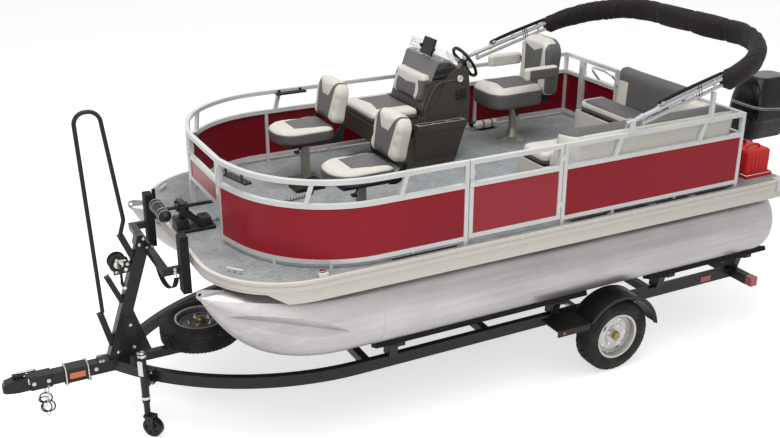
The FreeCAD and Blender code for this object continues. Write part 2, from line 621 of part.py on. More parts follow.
def spline_prism(curve, corners, low, high):
    """An extrusion along Y of an (x, z) outline: a smooth curve, closed through straight corners."""
    points = [Vector(x, low, z) for x, z in curve]
    edge = Part.BSplineCurve()
    edge.interpolate(points)
    rest = [points[-1]] + [Vector(x, low, z) for x, z in corners] + [points[0]]
    lines = [Part.LineSegment(a, b).toShape() for a, b in zip(rest, rest[1:])]
    return Part.Face(Part.Wire([edge.toShape()] + lines)).extrude(Vector(0, high - low, 0))


def make_console():
    y, half = D.console_y, D.console_half
    low, ledge = D.deck_top, D.deck_top + D.console_ledge
    aft, fore = D.console_aft, D.console_fore
    core = half - D.side_step
    base = side_prism([(aft + 42, low), (fore, low), (fore, ledge), (aft, ledge)], y - half, y + half)
    base = base.makeFillet(40, [e for e in base.Edges if e.BoundBox.YMin > y + half - 1 and e.BoundBox.ZLength > 300])
    # bench box ahead of the console, an open tray under its lid
    wall = 14
    bench_low, bench_high = D.bench_top - 235, D.bench_top - 85
    bench = Part.makeBox(D.bench_fore - 60, 2 * half, bench_high - bench_low, Vector(60, y - half, bench_low))
    hollow = Part.makeBox(D.bench_fore - 60 - 2 * wall - 20, 2 * (half - wall), bench_high - bench_low,
                          Vector(60 + wall + 20, y - half + wall, bench_low + wall))
    tower = side_prism([(60, ledge - 1), (60, bench_high + 60), (-22, 2105), (-330, 2125), (-372, 2100),
                        (-385, 1900), (-372, ledge - 1)], y - core, y + core)
    # the upper pod: a softer moulding that carries the dash
    pod = side_prism([(0, 2085), (-24, 2100), (-82, 2262), (-100, 2272), (-205, 2262), (-300, 2196), (-322, 2085)],
                     y - core + 6, y + core - 6)
    pod = pod.makeFillet(22, [e for e in pod.Edges if e.BoundBox.YLength < 1 and e.BoundBox.ZMin > 2090])
    # the side cheeks sweep up to the helm in one S
    sweep = ((70, 1800), (-17, 1852), (-92, 1942), (-128, 2040), (-155, 2105), (-202, 2162), (-278, 2193))
    cheeks = [spline_prism(sweep, ((-378, 2165), (-397, 1903), (-384, ledge - 1), (70, ledge - 1)), low_y, low_y + 14)
              for low_y in (y + core - 1, y - core - 13)]
    grip = side_prism([(200, ledge + 20), (200, bench_low - 12), (130, bench_low - 12), (130, ledge + 20)],
                      y + half - 60, y + half + 1)
    body = joined([base, bench, tower, pod] + cheeks).cut(hollow).cut(grip)
    # cup tray on the port ledge, three pockets in a row
    length = 3 * D.cup_pitch + D.cup_wall
    tray = Part.makeBox(length, 92, 60, Vector(aft - 5, y + core, ledge))
    pockets = [Part.makeBox(D.cup_pitch - D.cup_wall, 54, 52, Vector(aft - 5 + D.cup_wall + index * D.cup_pitch,
                                                                    y + half + 5, ledge + 12)) for index in range(3)]
    face = y + core + 12
    gauge = Part.makeCylinder(27, 9, Vector(-290, face, 2106), Vector(0, 1, 0))
    switches = side_prism([(-252, 2020), (-350, 2026), (-354, 1934), (-256, 1928)], face, face + 9)
    stalk = bar_between((-150, y + 100, 2255), (-84, y + 100, 2325), 9)
    display = side_prism([(-62, 2300), (-112, 2430), (-130, 2424), (-80, 2294)], y + 10, y + 190)
    tilt = math.radians(D.helm_tilt)
    normal = Vector(-math.cos(tilt), 0, math.sin(tilt))
    hub = Vector(D.helm_x, y - 30, D.helm_z)
    column = Part.makeCylinder(24, 200, hub - normal * 236, normal)
    helm_shaft = Part.makeCylinder(10, 60, hub - normal * 66, normal)
    subpart("console", feature("Console", joined(
        [body, tray.cut(pockets + [hollow]), column, helm_shaft, gauge, switches, stalk, display])))

    rim = Part.makeTorus(D.helm_radius - 13, 13, hub, normal)
    boss = Part.makeCylinder(38, 30, hub - normal * 34, normal)
    spokes = []
    across = Vector(0, 1, 0)
    up = normal.cross(across)
    for angle in (90, 210, 330):
        reach = across * math.cos(math.radians(angle)) + up * math.sin(math.radians(angle))
        spokes.append(Part.makeCylinder(9, D.helm_radius - 14, hub - normal * 14, reach + normal * 0.08))
    subpart("helm_wheel", feature("HelmWheel", joined([rim, boss] + spokes).cut(
        Part.makeCylinder(10.05, 60, hub - normal * 66, normal))))

    # clear screen: a bent sheet round the front and both sides of the pod, lower at its ends
    outer, inner = [Part.makeBox(400, 2 * (core - 12 - wall_in), 260, Vector(-482, y - core + 12 + wall_in, 2180)) for wall_in in (0, 4)]
    inner.translate(Vector(-4, 0, 0))
    shells = [box.makeFillet(radius, [e for e in box.Edges if e.BoundBox.ZLength > 250 and e.BoundBox.XMin > -100])
              for box, radius in ((outer, 70), (inner, 66))]
    sheet_ring = shells[0].cut(shells[1])
    sheet_ring.rotate(Vector(-82, y, 2262), Vector(0, 1, 0), -14)
    keep = side_prism([(-40, 2238), (-40, 2440), (-112, 2392), (-292, 2262), (-284, 2238)], y - half, y + half)
    screen = sheet_ring.common(keep).cut(body).cut(joined([stalk, display]))
    screen = max(screen.Solids, key=lambda piece: piece.Volume)
    subpart("windscreen", feature("Windscreen", screen))

    lid = cushion((90, D.bench_fore), (y - half + 2, y + half - 2), (bench_high + 0.5, D.bench_top), 60, 25)
    barrel = Part.makeCylinder(4, 2 * half - 60, Vector(90 + LID_PIN[0], y - half + 30, D.bench_top - LID_PIN[1]),
                               Vector(0, 1, 0))
    subpart("bench_lid", feature("BenchLid", joined([lid, barrel])))
    back = cushion((-20, 60), (-half + 60, half - 60), (0, 330), 30, 25)
    back = moved(moved(back, -13, (0, 0, 0), (0, 1, 0)), 0, (22, y, D.bench_top + 12)).cut(body)
    subpart("console_backrest", feature("ConsoleBackrest", back))


# ---------------------------------------------------------------- lounge
def make_lounge():
    low, lid_low = D.deck_top, D.lounge_seat - 95
    fore, aft, side, inner, wall = D.lounge_fore, D.lounge_aft, D.lounge_side, D.lounge_inner, D.lounge_wall
    back_y = side - 300
    bench_x = aft + 150

    port_box = Part.makeBox(fore - aft, side - inner, lid_low - low, Vector(aft, inner, low))
    port_hollow = Part.makeBox(fore - (bench_x + 310) - 2 * wall, back_y - inner - 2 * wall, lid_low,
                               Vector(bench_x + 310 + wall, inner + wall, low + wall))
    bench_box = Part.makeBox(bench_x + 300 - aft, inner - D.bench_end, lid_low - low,
                             Vector(aft, D.bench_end, low))
    bench_hollow = Part.makeBox(300 - 2 * wall, inner - D.bench_end - 2 * wall, lid_low,
                                Vector(bench_x + wall, D.bench_end + wall, low + wall))
    base = joined([port_box, bench_box]).cut(port_hollow).cut(bench_hollow)
    subpart("lounge_base", feature("LoungeBase", base))

    top = D.lounge_back
    port_back = cushion((aft, fore), (back_y + 6, side), (lid_low, top), 50, 45)
    pod = cushion((aft, bench_x - 6), (D.bench_end + 130, back_y + 60), (lid_low, top + 70), 50, 60)
    subpart("lounge_backrest", feature("LoungeBackrest", joined([port_back, pod])))

    seam = bench_x + 305
    port_lid = cushion((seam + 5, fore), (inner, back_y - 6), (lid_low + 0.5, D.lounge_seat), 40, 25)
    pin = Part.makeCylinder(4, fore - seam - 100, Vector(seam + 50, back_y - 6 - LID_PIN[0], D.lounge_seat - LID_PIN[1]),
                            Vector(1, 0, 0))
    subpart("lounge_lid", feature("LoungeLid", joined([port_lid, pin])))
    stern_lid = cushion((bench_x + 6, seam - 5), (D.bench_end, back_y - 6), (lid_low + 0.5, D.lounge_seat), 40, 25)
    # the front face leans back, so that it swings clear of the other cushion
    lean = side_prism([(seam - 19, lid_low - 1), (seam, lid_low - 1), (seam, lid_low + 46), (seam - 5, lid_low + 46)],
                      D.bench_end - 1, back_y)
    pin = Part.makeCylinder(4, back_y - D.bench_end - 120,
                            Vector(bench_x + 6 + LID_PIN[0], D.bench_end + 50, D.lounge_seat - LID_PIN[1]),
                            Vector(0, 1, 0))
    subpart("livewell_lid", feature("LivewellLid", joined([stern_lid.cut(lean), pin])))


def make_fuel_tank():
    top = D.deck_top
    tray = block("TankTray", ("deck_stern + 15", "deck_stern + 300"), (740, 1080), ("deck_top", "deck_top + 28"))
    tray_well = block("TankTrayWell", ("deck_stern + 21", "deck_stern + 294"), (746, 1074),
                      ("deck_top + 6", "deck_top + 40"))
    tank = cushion((D.deck_stern + 30, D.deck_stern + 285), (755, 1065), (top + 6, top + 230), 35, 30)
    cap = Part.makeCylinder(35, 30, Vector(D.deck_stern + 150, 850, top + 225))
    tray_cut = cut("TankTrayCut", tray, tray_well)
    tank_body = feature("TankBody", joined([tank, cap]))
    subpart("fuel_tank", fuse("FuelTank", [tray_cut, tank_body]))


# ---------------------------------------------------------------- outboard engine
def make_outboard():
    tx, top = D.transom_x, D.transom_top
    cheek_profile = [(tx - 60, 1050), (tx, 1050), (tx, top + 2), (tx + 62, top + 2), (tx + 62, 1180),
                     (tx + 72, 1180), (tx + 72, top + 14), (tx - 40, top + 50), (tx - 60, top + 10)]
    cheeks = [side_prism(cheek_profile, y - 9, y + 9) for y in (-95, 95)]
    pad = Part.makeBox(8, 208, 200, Vector(tx - 8, -104, 1060))
    tilt_pin = Part.makeCylinder(12, 240, Vector(D.tilt_x, -120, D.tilt_z), Vector(0, 1, 0))
    hole = Part.makeCylinder(12, 240, Vector(D.tilt_x, -120, D.tilt_z), Vector(0, 1, 0))
    subpart("outboard_clamp", feature("OutboardClamp", joined(cheeks + [pad]).cut(hole)))

    sx = D.steer_x
    barrel = Part.makeCylinder(38, 190, Vector(sx, 0, 1090))
    yoke = side_prism([(sx, 1150), (sx, 1262), (sx + 38, 1262), (D.tilt_x - 14, D.tilt_z + 12),
                       (D.tilt_x, D.tilt_z), (D.tilt_x + 6, D.tilt_z - 16), (sx + 36, 1180)], -70, 70)
    boss = Part.makeCylinder(18, 140, Vector(D.tilt_x, -70, D.tilt_z), Vector(0, 1, 0))
    bore = Part.makeCylinder(20, 300, Vector(sx, 0, 1040))
    subpart("outboard_swivel", feature("OutboardSwivel", joined([barrel, yoke, boss, tilt_pin]).cut(bore)))

    shaft = Part.makeCylinder(19.5, 230, Vector(sx, 0, 1070))
    lower_arm = Part.makeBox(90, 80, 18, Vector(sx - 60, -40, 1065))
    upper_arm = Part.makeBox(120, 68, 18, Vector(sx - 120, -34, 1282)).fuse(
        Part.makeCylinder(34, 18, Vector(sx, 0, 1282)))
    leg = side_prism([(sx - 50, 1300), (sx - 230, 1300), (sx - 215, D.prop_z + 150), (sx - 60, D.prop_z + 150)],
                     -48, 48)
    strut = side_prism([(sx - 75, D.prop_z + 160), (sx - 210, D.prop_z + 160), (sx - 250, D.prop_z),
                        (sx - 90, D.prop_z)], -20, 20)
    plate = Part.makeBox(330, 170, 8, Vector(D.prop_x - 20, -85, D.prop_z + 150))
    pod = Part.makeCylinder(46, 240, Vector(D.prop_x + 52, 0, D.prop_z), Vector(1, 0, 0))
    cone = Part.makeCone(46, 12, 90, Vector(D.prop_x + 292, 0, D.prop_z), Vector(1, 0, 0))
    skeg = side_prism([(D.prop_x + 90, D.prop_z - 40), (D.prop_x + 260, D.prop_z - 40),
                       (D.prop_x + 150, D.prop_z - 180), (D.prop_x + 90, D.prop_z - 180)], -6, 6)
    leg_hole = Part.makeCylinder(44, 200, Vector(sx, 0, 1085))
    prop_shaft = Part.makeCylinder(9, 120, Vector(D.prop_x - 56, 0, D.prop_z), Vector(1, 0, 0))
    subpart("outboard_leg", feature("OutboardLeg", joined(
        [joined([leg, strut, plate, pod, cone, skeg]).cut(leg_hole), shaft, lower_arm, upper_arm, prop_shaft])))

    front, rear = sx - 75, sx - 575
    cowl = Part.makeLoft([cowl_section(front, rear, 150, 1300, 60), cowl_section(front - 5, rear, 190, 1420, 90),
                          cowl_section(front - 25, rear - 5, 190, 1700, 90),
                          cowl_section(front - 80, rear + 60, 140, 1880, 90)], True, False)
    subpart("outboard_cowl", feature("OutboardCowl", cowl))

    hub = Part.makeCone(30, 44, 100, Vector(D.prop_x - 50, 0, D.prop_z), Vector(1, 0, 0))
    blades = []
    for index in range(3):
        blade = Part.makeBox(8, 78, D.prop_radius - 20, Vector(-4, -39, 20))
        tip = Part.makeCylinder(D.prop_radius, 60, Vector(-30, 0, 0), Vector(1, 0, 0))
        blade = moved(blade, 35, (0, 0, 0), (0, 0, 1)).common(tip)
        blades.append(moved(blade, 120 * index, (D.prop_x, 0, D.prop_z), (1, 0, 0)))
    bore = Part.makeCylinder(9.05, 120, Vector(D.prop_x - 60, 0, D.prop_z), Vector(1, 0, 0))
    subpart("outboard_propeller", feature("OutboardPropeller", joined([hub] + blades).cut(bore)))


def cowl_section(front, rear, half, z, corner):
    """A rounded rectangle at one height."""
    face = Part.makeBox(front - rear, 2 * half, 10, Vector(rear, -half, z))
    face = face.makeFillet(corner, [e for e in face.Edges if abs(e.tangentAt(e.FirstParameter).z) > 0.9])
    flat = [f for f in face.Faces if abs(f.BoundBox.ZMax - z) < 0.01 and f.BoundBox.ZLength < 0.01]
    return flat[0].OuterWire


# ---------------------------------------------------------------- bow motor
LEAD = ((1142, -205), (1330, -172), (1490, -140), (1690, -164), (1850, -98), (1950, -52))


def foot_pedal():
    """The bow motor's pedal: a tilted plate on a low base, with the gland of its lead."""
    top, x, y, side = D.deck_top, D.pedal_x, D.pedal_y, D.pedal_half
    body = side_prism([(x - 120, top), (x + 125, top), (x + 125, top + 20), (x + 70, top + 32),
                       (x - 96, top + 60), (x - 120, top + 50)], y - side, y + side)
    gland = Part.makeCylinder(D.lead_radius, 30, Vector(x, y + side - 5, top + D.lead_radius + 0.3), Vector(0, 1, 0))
    return joined([body, gland])


def make_pedal_lead():
    """The coiled lead on the deck, as one round bar of its outer diameter."""
    z = D.deck_top + D.lead_radius + 0.3
    start = (D.pedal_x, D.pedal_y + D.pedal_half + 27.2)
    points = [Vector(x, y, z) for x, y in (start,) + LEAD + ((2039, -45),)]
    radii = []
    for before, corner, after in zip(points, points[1:], points[2:]):
        arriving, leaving = corner - before, after - corner
        turn = arriving.getAngle(leaving)
        radii.append(0.45 * min(arriving.Length, leaving.Length) / math.tan(turn / 2))
    path = round_path([tuple(point) for point in points], radii)
    subpart("pedal_cord", feature("PedalCord", tube_along(path, D.lead_radius)))


def make_trolling_motor():
    base = block("TrollBase", (2040, 2312), (-85, 85), ("deck_top", "deck_top + 22"))
    ramp = block("TrollRamp", (2230, 2312), (-60, 60), ("deck_top + 22", "deck_top + 95"))
    rear_ramp = block("TrollRearRamp", (2060, 2130), (-55, 55), ("deck_top + 22", "deck_top + 80"))
    collar = rod("TrollCollar", 32, "x", 2215, 2300, z="deck_top + troll_rise")
    neck = block("TrollNeck", (2240, 2280), (-20, 20), ("deck_top + 90", "deck_top + 165"))
    bore = rod("TrollBore", 14, "x", 2200, 2320, z="deck_top + troll_rise")
    pedal = feature("TrollPedal", foot_pedal())
    mount = fuse("TrollMountBody", [base, ramp, rear_ramp, neck, collar, pedal])
    subpart("trolling_mount", cut("TrollMount", mount, bore))

    x, z = D.troll_x, D.deck_top + D.troll_rise
    shaft = Part.makeCylinder(13, x + 10 - 1990, Vector(1990, 0, z), Vector(1, 0, 0))
    pod = Part.makeCylinder(45, 250, Vector(x, -115, z), Vector(0, 1, 0))
    nose = Part.makeCone(45, 18, 45, Vector(x, 135, z), Vector(0, 1, 0))
    head = cushion((1880, 1995), (-45, 45), (z - 45, z + 45), 20, 15)
    prop_shaft = Part.makeCylinder(6, 54, Vector(x, -168, z), Vector(0, 1, 0))
    subpart("trolling_motor", feature("TrollMotor", joined([shaft, pod, nose, head, prop_shaft])))

    hub = Part.makeCylinder(24, 50, Vector(x, -170, z), Vector(0, 1, 0))
    blades = []
    for turn in (0, 180):
        blade = Part.makeBox(30, 6, 105, Vector(-15, -3, 10))
        blade = moved(blade, 30)
        blades.append(moved(blade, turn, (x, -145, z), (0, 1, 0)))
    bore = Part.makeCylinder(6.05, 60, Vector(x, -172, z), Vector(0, 1, 0))
    subpart("trolling_propeller", feature("TrollPropeller", joined([hub] + blades).cut(bore)))


# ---------------------------------------------------------------- folding top
def top_point(along, across, lift=0):
    """A point of the folded top's own plane, which slopes up going aft from the pivots."""
    slope = math.radians(D.top_slope)
    return (D.top_pivot_x - along * math.cos(slope) + lift * math.sin(slope), across,
            D.top_pivot_z + along * math.sin(slope) + lift * math.cos(slope))


def make_folding_top():
    y = D.top_y
    legs = []
    for side in (1, -1):
        for radius, start, lift, reach in ((13, 0, 0, D.boot_start), (11, 110, -52, D.boot_start),
                                           (8, 260, 34, D.boot_start)):
            legs.append(bar_between(top_point(start, side * y, lift), top_point(reach, side * y, lift), radius))
        for along, low, high in ((110, -52, 0), (262, 0, 34), (800, -52, 34)):
            legs.append(bar_between(top_point(along, side * y, low), top_point(along, side * y, high), 7))
        legs.append(Part.makeCylinder(16, 36, Vector(D.top_pivot_x, side * y - 18, D.top_pivot_z), Vector(0, 1, 0)))
    bore = Part.makeCylinder(7.05, 2600, Vector(D.top_pivot_x, -1300, D.top_pivot_z), Vector(0, 1, 0))
    frames = [joined(legs[:7]).cut(bore), joined(legs[7:]).cut(bore)]
    subpart("top_frame", feature("TopFrame", Part.makeCompound(frames)))

    crown = D.top_leg + D.top_corner
    points = [top_point(D.boot_start, y, -10), top_point(crown, y, -10), top_point(crown, -y, -10),
              top_point(D.boot_start, -y, -10)]
    boot = tube_along(round_path(points, (D.top_corner, D.top_corner)), D.boot_radius)
    subpart("top_boot", feature("TopBoot", boot))


def make_top_mounts():
    """Deck-rail brackets: a fork at each pivot and a rest under each leg."""
    pieces = []
    for side in (1, -1):
        y = side * D.top_y
        fork = Part.makeBox(50, 56, D.top_pivot_z + 22 - (D.top_rail + D.fence_tube),
                            Vector(D.top_pivot_x - 25, y - 28, D.top_rail + D.fence_tube))
        slot = Part.makeBox(60, 38, 80, Vector(D.top_pivot_x - 30, y - 19, D.top_pivot_z - 40))
        pin = Part.makeCylinder(7, 56, Vector(D.top_pivot_x, y - 28, D.top_pivot_z), Vector(0, 1, 0))
        pieces.append(joined([fork.cut(slot), pin]))
        rest_top = top_point(790, y, -52 - 17)
        post = Part.makeBox(34, 26, rest_top[2] - 6 - (D.top_rail + D.fence_tube),
                            Vector(rest_top[0] - 17, y - 13, D.top_rail + D.fence_tube))
        pieces.append(post)
    return pieces


# tool trays under the top rail: middle (x, y), heading in plan, height and the side they hang on
TRAYS = ((880, 1, 0, 1968), (955, -1, 0, 1968))
BOW_TRAYS = ((1, 14.5, 1885), (-1, 14.5, 1885))


def tool_tray(lift):
    """A slotted tray along X with its outer edge at y = 0, and the tabs that reach up to the top rail."""
    length, depth, thick = D.tray_length, D.tray_depth, D.tray_thick
    shelf = Part.makeBox(length, depth, thick, Vector(-length / 2, -depth, 0))
    shelf = shelf.makeFillet(10, [e for e in shelf.Edges if e.BoundBox.ZLength > thick - 1])
    holes = [Part.makeCylinder(7, 40, Vector(step * 30, -depth / 2 - (7 if step % 2 else -7), -10)) for step in range(-4, 5)]
    tabs = [Part.makeBox(24, 5, lift + thick, Vector(x - 12, -5, 0)) for x in (-length / 2 + 40, length / 2 - 40)]
    return joined([shelf] + tabs).cut(holes)


def make_trays():
    """Tool trays: two inside the side fences and one on each side of the bow gate."""
    inner, rail = D.fence_y - D.fence_tube / 2, D.top_rail + 14
    trays = []
    for x, side, turn, z in TRAYS:
        tray = moved(tool_tray(rail - z), 0, (x, inner, z))
        trays.append(tray if side > 0 else tray.mirror(Vector(), Vector(0, 1, 0)))
    for side, angle_deg, z in BOW_TRAYS:
        angle, reach = math.radians(angle_deg), D.bow_radius - D.fence_tube / 2 - 3
        place = (D.bow_apex - D.bow_radius + reach * math.cos(angle), reach * math.sin(angle), z)
        tray = moved(tool_tray(rail - z), angle_deg - 90, place)
        trays.append(tray if side > 0 else tray.mirror(Vector(), Vector(0, 1, 0)))
    subpart("rail_trays", feature("RailTrays", Part.makeCompound(trays)))


def cleat(x, y, turn):
    """A deck cleat: two feet under a rounded bar."""
    half, top = D.cleat_length / 2, D.deck_top
    bar = Part.makeCylinder(8, 2 * half, Vector(-half, 0, 26), Vector(1, 0, 0))
    feet = [Part.makeCylinder(10, 28, Vector(step, 0, 0)) for step in (-22, 22)]
    return moved(joined([bar] + feet), turn, (x, y, top))


def make_small_fittings():
    """Cleats, side lamp, stern corner castings and the extinguisher in its clamp by the helm seat."""
    top, half = D.deck_top, D.deck_half
    pieces = [cleat(D.deck_bow - 150, half - 330, -50), cleat(D.deck_bow - 150, 330 - half, 50)]
    base = cushion((1640, 1710), (half - 38, half + 8), (top + 3.2, top + 34), 12, 8)
    pieces.append(base)
    casting = deck_slab(D.rim + 9, top - 92, top + 9).cut(deck_slab(D.rim + 5, top - 93, top + 3.2))
    for low_y in (half - 40, -half - 60):
        pieces.append(casting.common(Part.makeBox(150, 100, 120, Vector(D.deck_stern - 60, low_y, top - 100))))
    return pieces


def make_ladder():
    """Boarding ladder folded in over the stern deck, on the starboard side."""
    hinge_x, hinge_z, y_mid, half = D.deck_stern - 42, D.deck_top + 30, D.ladder_y, D.ladder_half
    path = round_path([(0, y_mid - half, 0), (0, y_mid - half, D.ladder_length), (0, y_mid + half, D.ladder_length),
                       (0, y_mid + half, 0)], (90, 90))
    rail = tube_along(path, 13)
    steps = [Part.makeBox(24, 2 * half, 60, Vector(-12, y_mid - half, rise)) for rise in (150, 370)]
    ladder = moved(joined([rail] + steps), D.ladder_lean, (hinge_x, 0, hinge_z), (0, 1, 0))
    pin = Part.makeCylinder(11, 2 * half + 60, Vector(hinge_x, y_mid - half - 30, hinge_z), Vector(0, 1, 0))
    subpart("boarding_ladder", feature("BoardingLadder", joined([ladder, pin])))
    ears = []
    for y in (y_mid - half - 34, y_mid + half + 22):
        ear = Part.makeBox(86, 12, 56, Vector(hinge_x - 20, y, D.deck_top))
        ears.append(ear.cut(Part.makeCylinder(11, 20, Vector(hinge_x, y - 4, hinge_z), Vector(0, 1, 0))))
    return ears


# ---------------------------------------------------------------- trailer
def trailer_rail():
    """A side rail: straight under the pontoon, then bent in to the tongue."""
    half, low, high = D.rail_width / 2, D.rail_low, D.rail_high
    turn = math.acos(1 - (D.rail_y - 25) / D.bend_radius)

    def edge(offset):
        radius = D.bend_radius + offset
        centre = Vector(D.bend_start, D.rail_y - D.bend_radius, low)

        def at(angle):
            return centre + Vector(radius * math.sin(angle), radius * math.cos(angle), 0)

        return [Part.LineSegment(Vector(D.rail_rear, D.rail_y + offset, low), at(0)).toShape(),
                Part.Arc(at(0), at(turn / 2), at(turn)).toShape()]

    outer, inner = edge(half), edge(-half)
    ends = [Part.LineSegment(outer[0].Vertexes[0].Point, inner[0].Vertexes[0].Point).toShape(),
            Part.LineSegment(outer[1].Vertexes[1].Point, inner[1].Vertexes[1].Point).toShape()]
    outline = Part.Wire(Part.__sortEdges__(outer + inner + ends))
    return Part.Face(outline).extrude(Vector(0, 0, high - low))


def bunk_bracket(x, y):
    """A saddle on the side rail whose two faces lie under the bunks."""
    under = bunk_line(D.tube_radius + 38)
    (in_y, in_z), (out_y, out_z) = under
    rail_top = D.rail_high
    outline = [(y - out_y, out_z), (y - in_y, in_z), (y + in_y, in_z), (y + out_y, out_z),
               (y + out_y, out_z - 28), (y + 60, in_z - 36), (y + 28, rail_top), (y - 66, rail_top),
               (y - 60, in_z - 36), (y - out_y, out_z - 28)]
    return prism([(x, py, pz) for py, pz in outline], (64, 0, 0))


def bunk_line(distance):
    """Half width and height of a bunk face's inner and outer edge, at a distance from the tube's axis."""
    lean = math.radians(20)
    mid_y, mid_z = distance * math.sin(lean), D.tube_z - distance * math.cos(lean)
    reach_y, reach_z = 45 * math.cos(lean), 45 * math.sin(lean)
    return (mid_y - reach_y, mid_z - reach_z), (mid_y + reach_y, mid_z + reach_z)


JACK_PIVOT = 445


def jack_place():
    """The jack's upright axis, outside the bent rail, in plan."""
    angle, reach = math.radians(D.jack_turn), D.bend_radius + D.jack_out
    return D.bend_start + reach * math.sin(angle), D.rail_y - D.bend_radius + reach * math.cos(angle)


def by_jack(shape):
    """A piece drawn about the jack's axis, +Y away from the rail, set in its place."""
    return moved(shape, -D.jack_turn, (*jack_place(), 0))


BUNKS = ((-2510, -1240), (-610, 1230))
BRACKETS = (-2345, -1500, -440, 1000)


def make_trailer():
    low, high = D.rail_low, D.rail_high
    rail = trailer_rail()
    pieces = [rail, rail.mirror(Vector(), Vector(0, 1, 0))]
    inner = D.rail_y - D.rail_width / 2
    for x in (1180, 150, -1450):
        pieces.append(Part.makeBox(60, 2 * inner, 62, Vector(x, -inner, low + 14)))
    pieces.append(Part.makeBox(70, 2 * 1085, high - low - 12, Vector(D.rail_rear, -1085, low + 6)))
    pieces.append(Part.makeBox(D.tongue_front - 2700, 82, high - low, Vector(2700, -41, low)))
    pieces.append(Part.makeBox(2760 - 1200, 56, 62, Vector(1200, -28, low + 14)))
    collar = Part.makeBox(170, 104, high - low + 20, Vector(3040, -52, low - 10))
    pieces.append(collar)
    for side in (1, -1):
        pieces += [bunk_bracket(x, side * D.tube_y) for x in BRACKETS]
        for x in (D.axle_x - 330, D.axle_x + 290):
            pieces.append(Part.makeBox(40, D.rail_width, 36, Vector(x, side * D.rail_y - D.rail_width / 2, low - 36)))
    # carrier for the spare wheel, and the clamp that holds the jack's pivot
    pieces.append(Part.makeCylinder(16, 130, Vector(D.spare_x, 0, high - 30)))
    pieces.append(Part.makeBox(560, 120, 20, Vector(D.spare_x - 280, -60, high - 16)))
    clamp = Part.makeBox(70, 56, 110, Vector(-35, -108, low - 10))
    pivot = Part.makeCylinder(18, 25, Vector(0, -54, JACK_PIVOT), Vector(0, 1, 0))
    pin = Part.makeCylinder(12, 46, Vector(0, -60, JACK_PIVOT), Vector(0, 1, 0))
    pieces += [by_jack(piece) for piece in (clamp, pivot, pin)]
    subpart("trailer_frame", feature("TrailerFrame", joined(pieces)))

    bunks = []
    for side in (1, -1):
        for tilt in (20, -20):
            for start, end in BUNKS:
                board = Part.makeBox(end - start, 90, 38, Vector(0, -45, -38 - D.tube_radius))
                board = moved(board, tilt, (0, 0, 0), (1, 0, 0))
                bunks.append(moved(board, 0, (start, side * D.tube_y, D.tube_z)))
    # the two carpeted guides that stand against the bow
    bunks += [Part.makeBox(60, 90, 420, Vector(2362, side * 450 - 45, 1120)) for side in (1, -1)]
    subpart("trailer_bunks", feature("TrailerBunks", Part.makeCompound(bunks)))
    make_axle()
    make_fenders()


def make_axle():
    z = D.wheel_radius
    beam = Part.makeCylinder(30, 2 * 985, Vector(D.axle_x, -985, z), Vector(0, 1, 0))
    spindle = Part.makeCylinder(17, 2 * 1135, Vector(D.axle_x, -1135, z), Vector(0, 1, 0))
    springs = []
    for side in (1, -1):
        y = side * D.rail_y
        for half, rise in ((330, 48), (240, 40), (150, 32)):
            springs.append(Part.makeBox(2 * half, 44, 8.5, Vector(D.axle_x - half, y - 22, z + rise - 12)))
        springs.append(Part.makeBox(70, 60, 30, Vector(D.axle_x - 35, y - 30, z + 5)))
        for x in (D.axle_x - 330, D.axle_x + 290):
            springs.append(Part.makeBox(40, 30, D.rail_low - 36 - (z + 36), Vector(x, y - 15, z + 36)))
    subpart("trailer_axle", feature("TrailerAxle", joined([beam, spindle] + springs)))


def make_fenders():
    inner, outer, x, z = 985, 1218, D.axle_x, D.wheel_radius
    inside, outside = 352, 362
    shell = Part.makeCylinder(outside, outer - inner, Vector(x, inner, z), Vector(0, 1, 0))
    shell = shell.cut(Part.makeCylinder(inside, outer - inner, Vector(x, inner, z), Vector(0, 1, 0)))
    keep = side_prism([(x + 500, z + 205), (x + 500, z + 500), (x - 500, z + 500), (x - 500, z + 60),
                       (x - 300, z + 60), (x, z), (x + 250, z + 205)], inner, outer)
    arch = shell.common(keep)
    lip_ring = Part.makeCylinder(outside + 6, 12, Vector(x, outer - 12, z), Vector(0, 1, 0)).cut(
        Part.makeCylinder(inside - 12, 12, Vector(x, outer - 12, z), Vector(0, 1, 0))).common(keep)
    step = Part.makeBox(330, outer - inner, 10, Vector(x + 285, inner, z + 200))
    step_nose = Part.makeBox(300, 10, 50, Vector(x + 315, outer - 10, z + 160))
    tread = joined([arch, lip_ring, step.cut(Part.makeCylinder(inside, 300, Vector(x, inner - 10, z),
                                                               Vector(0, 1, 0))), step_nose])
    stays = [Part.makeBox(40, inner - (D.rail_y + D.rail_width / 2) + 20, 30,
                          Vector(sx, D.rail_y + D.rail_width / 2, D.rail_high - 40)) for sx in (x + 420, x - 372)]
    port = joined([tread] + stays)
    subpart("trailer_fenders", feature("TrailerFenders", Part.makeCompound(
        [port, port.mirror(Vector(), Vector(0, 1, 0))])))


def wheel_profile(points, turn_axis=(0, 1, 0)):
    """A revolved ring whose profile is given as (radius, distance from the wheel's middle)."""
    corners = [Vector(radius, offset, 0) for radius, offset in points]
    return Part.Face(Part.makePolygon(corners + corners[:1])).revolve(Vector(), Vector(*turn_axis), 360)


def tyre():
    half, rim, outer = D.tyre_width / 2, D.rim_radius, D.wheel_radius
    return wheel_profile([(rim, -half + 22), (rim + 22, -half + 4), (rim + 62, -half), (outer - 22, -half + 8),
                          (outer - 2, -half + 28), (outer, 0), (outer - 2, half - 28), (outer - 22, half - 8),
                          (rim + 62, half), (rim + 22, half - 4), (rim, half - 22)])


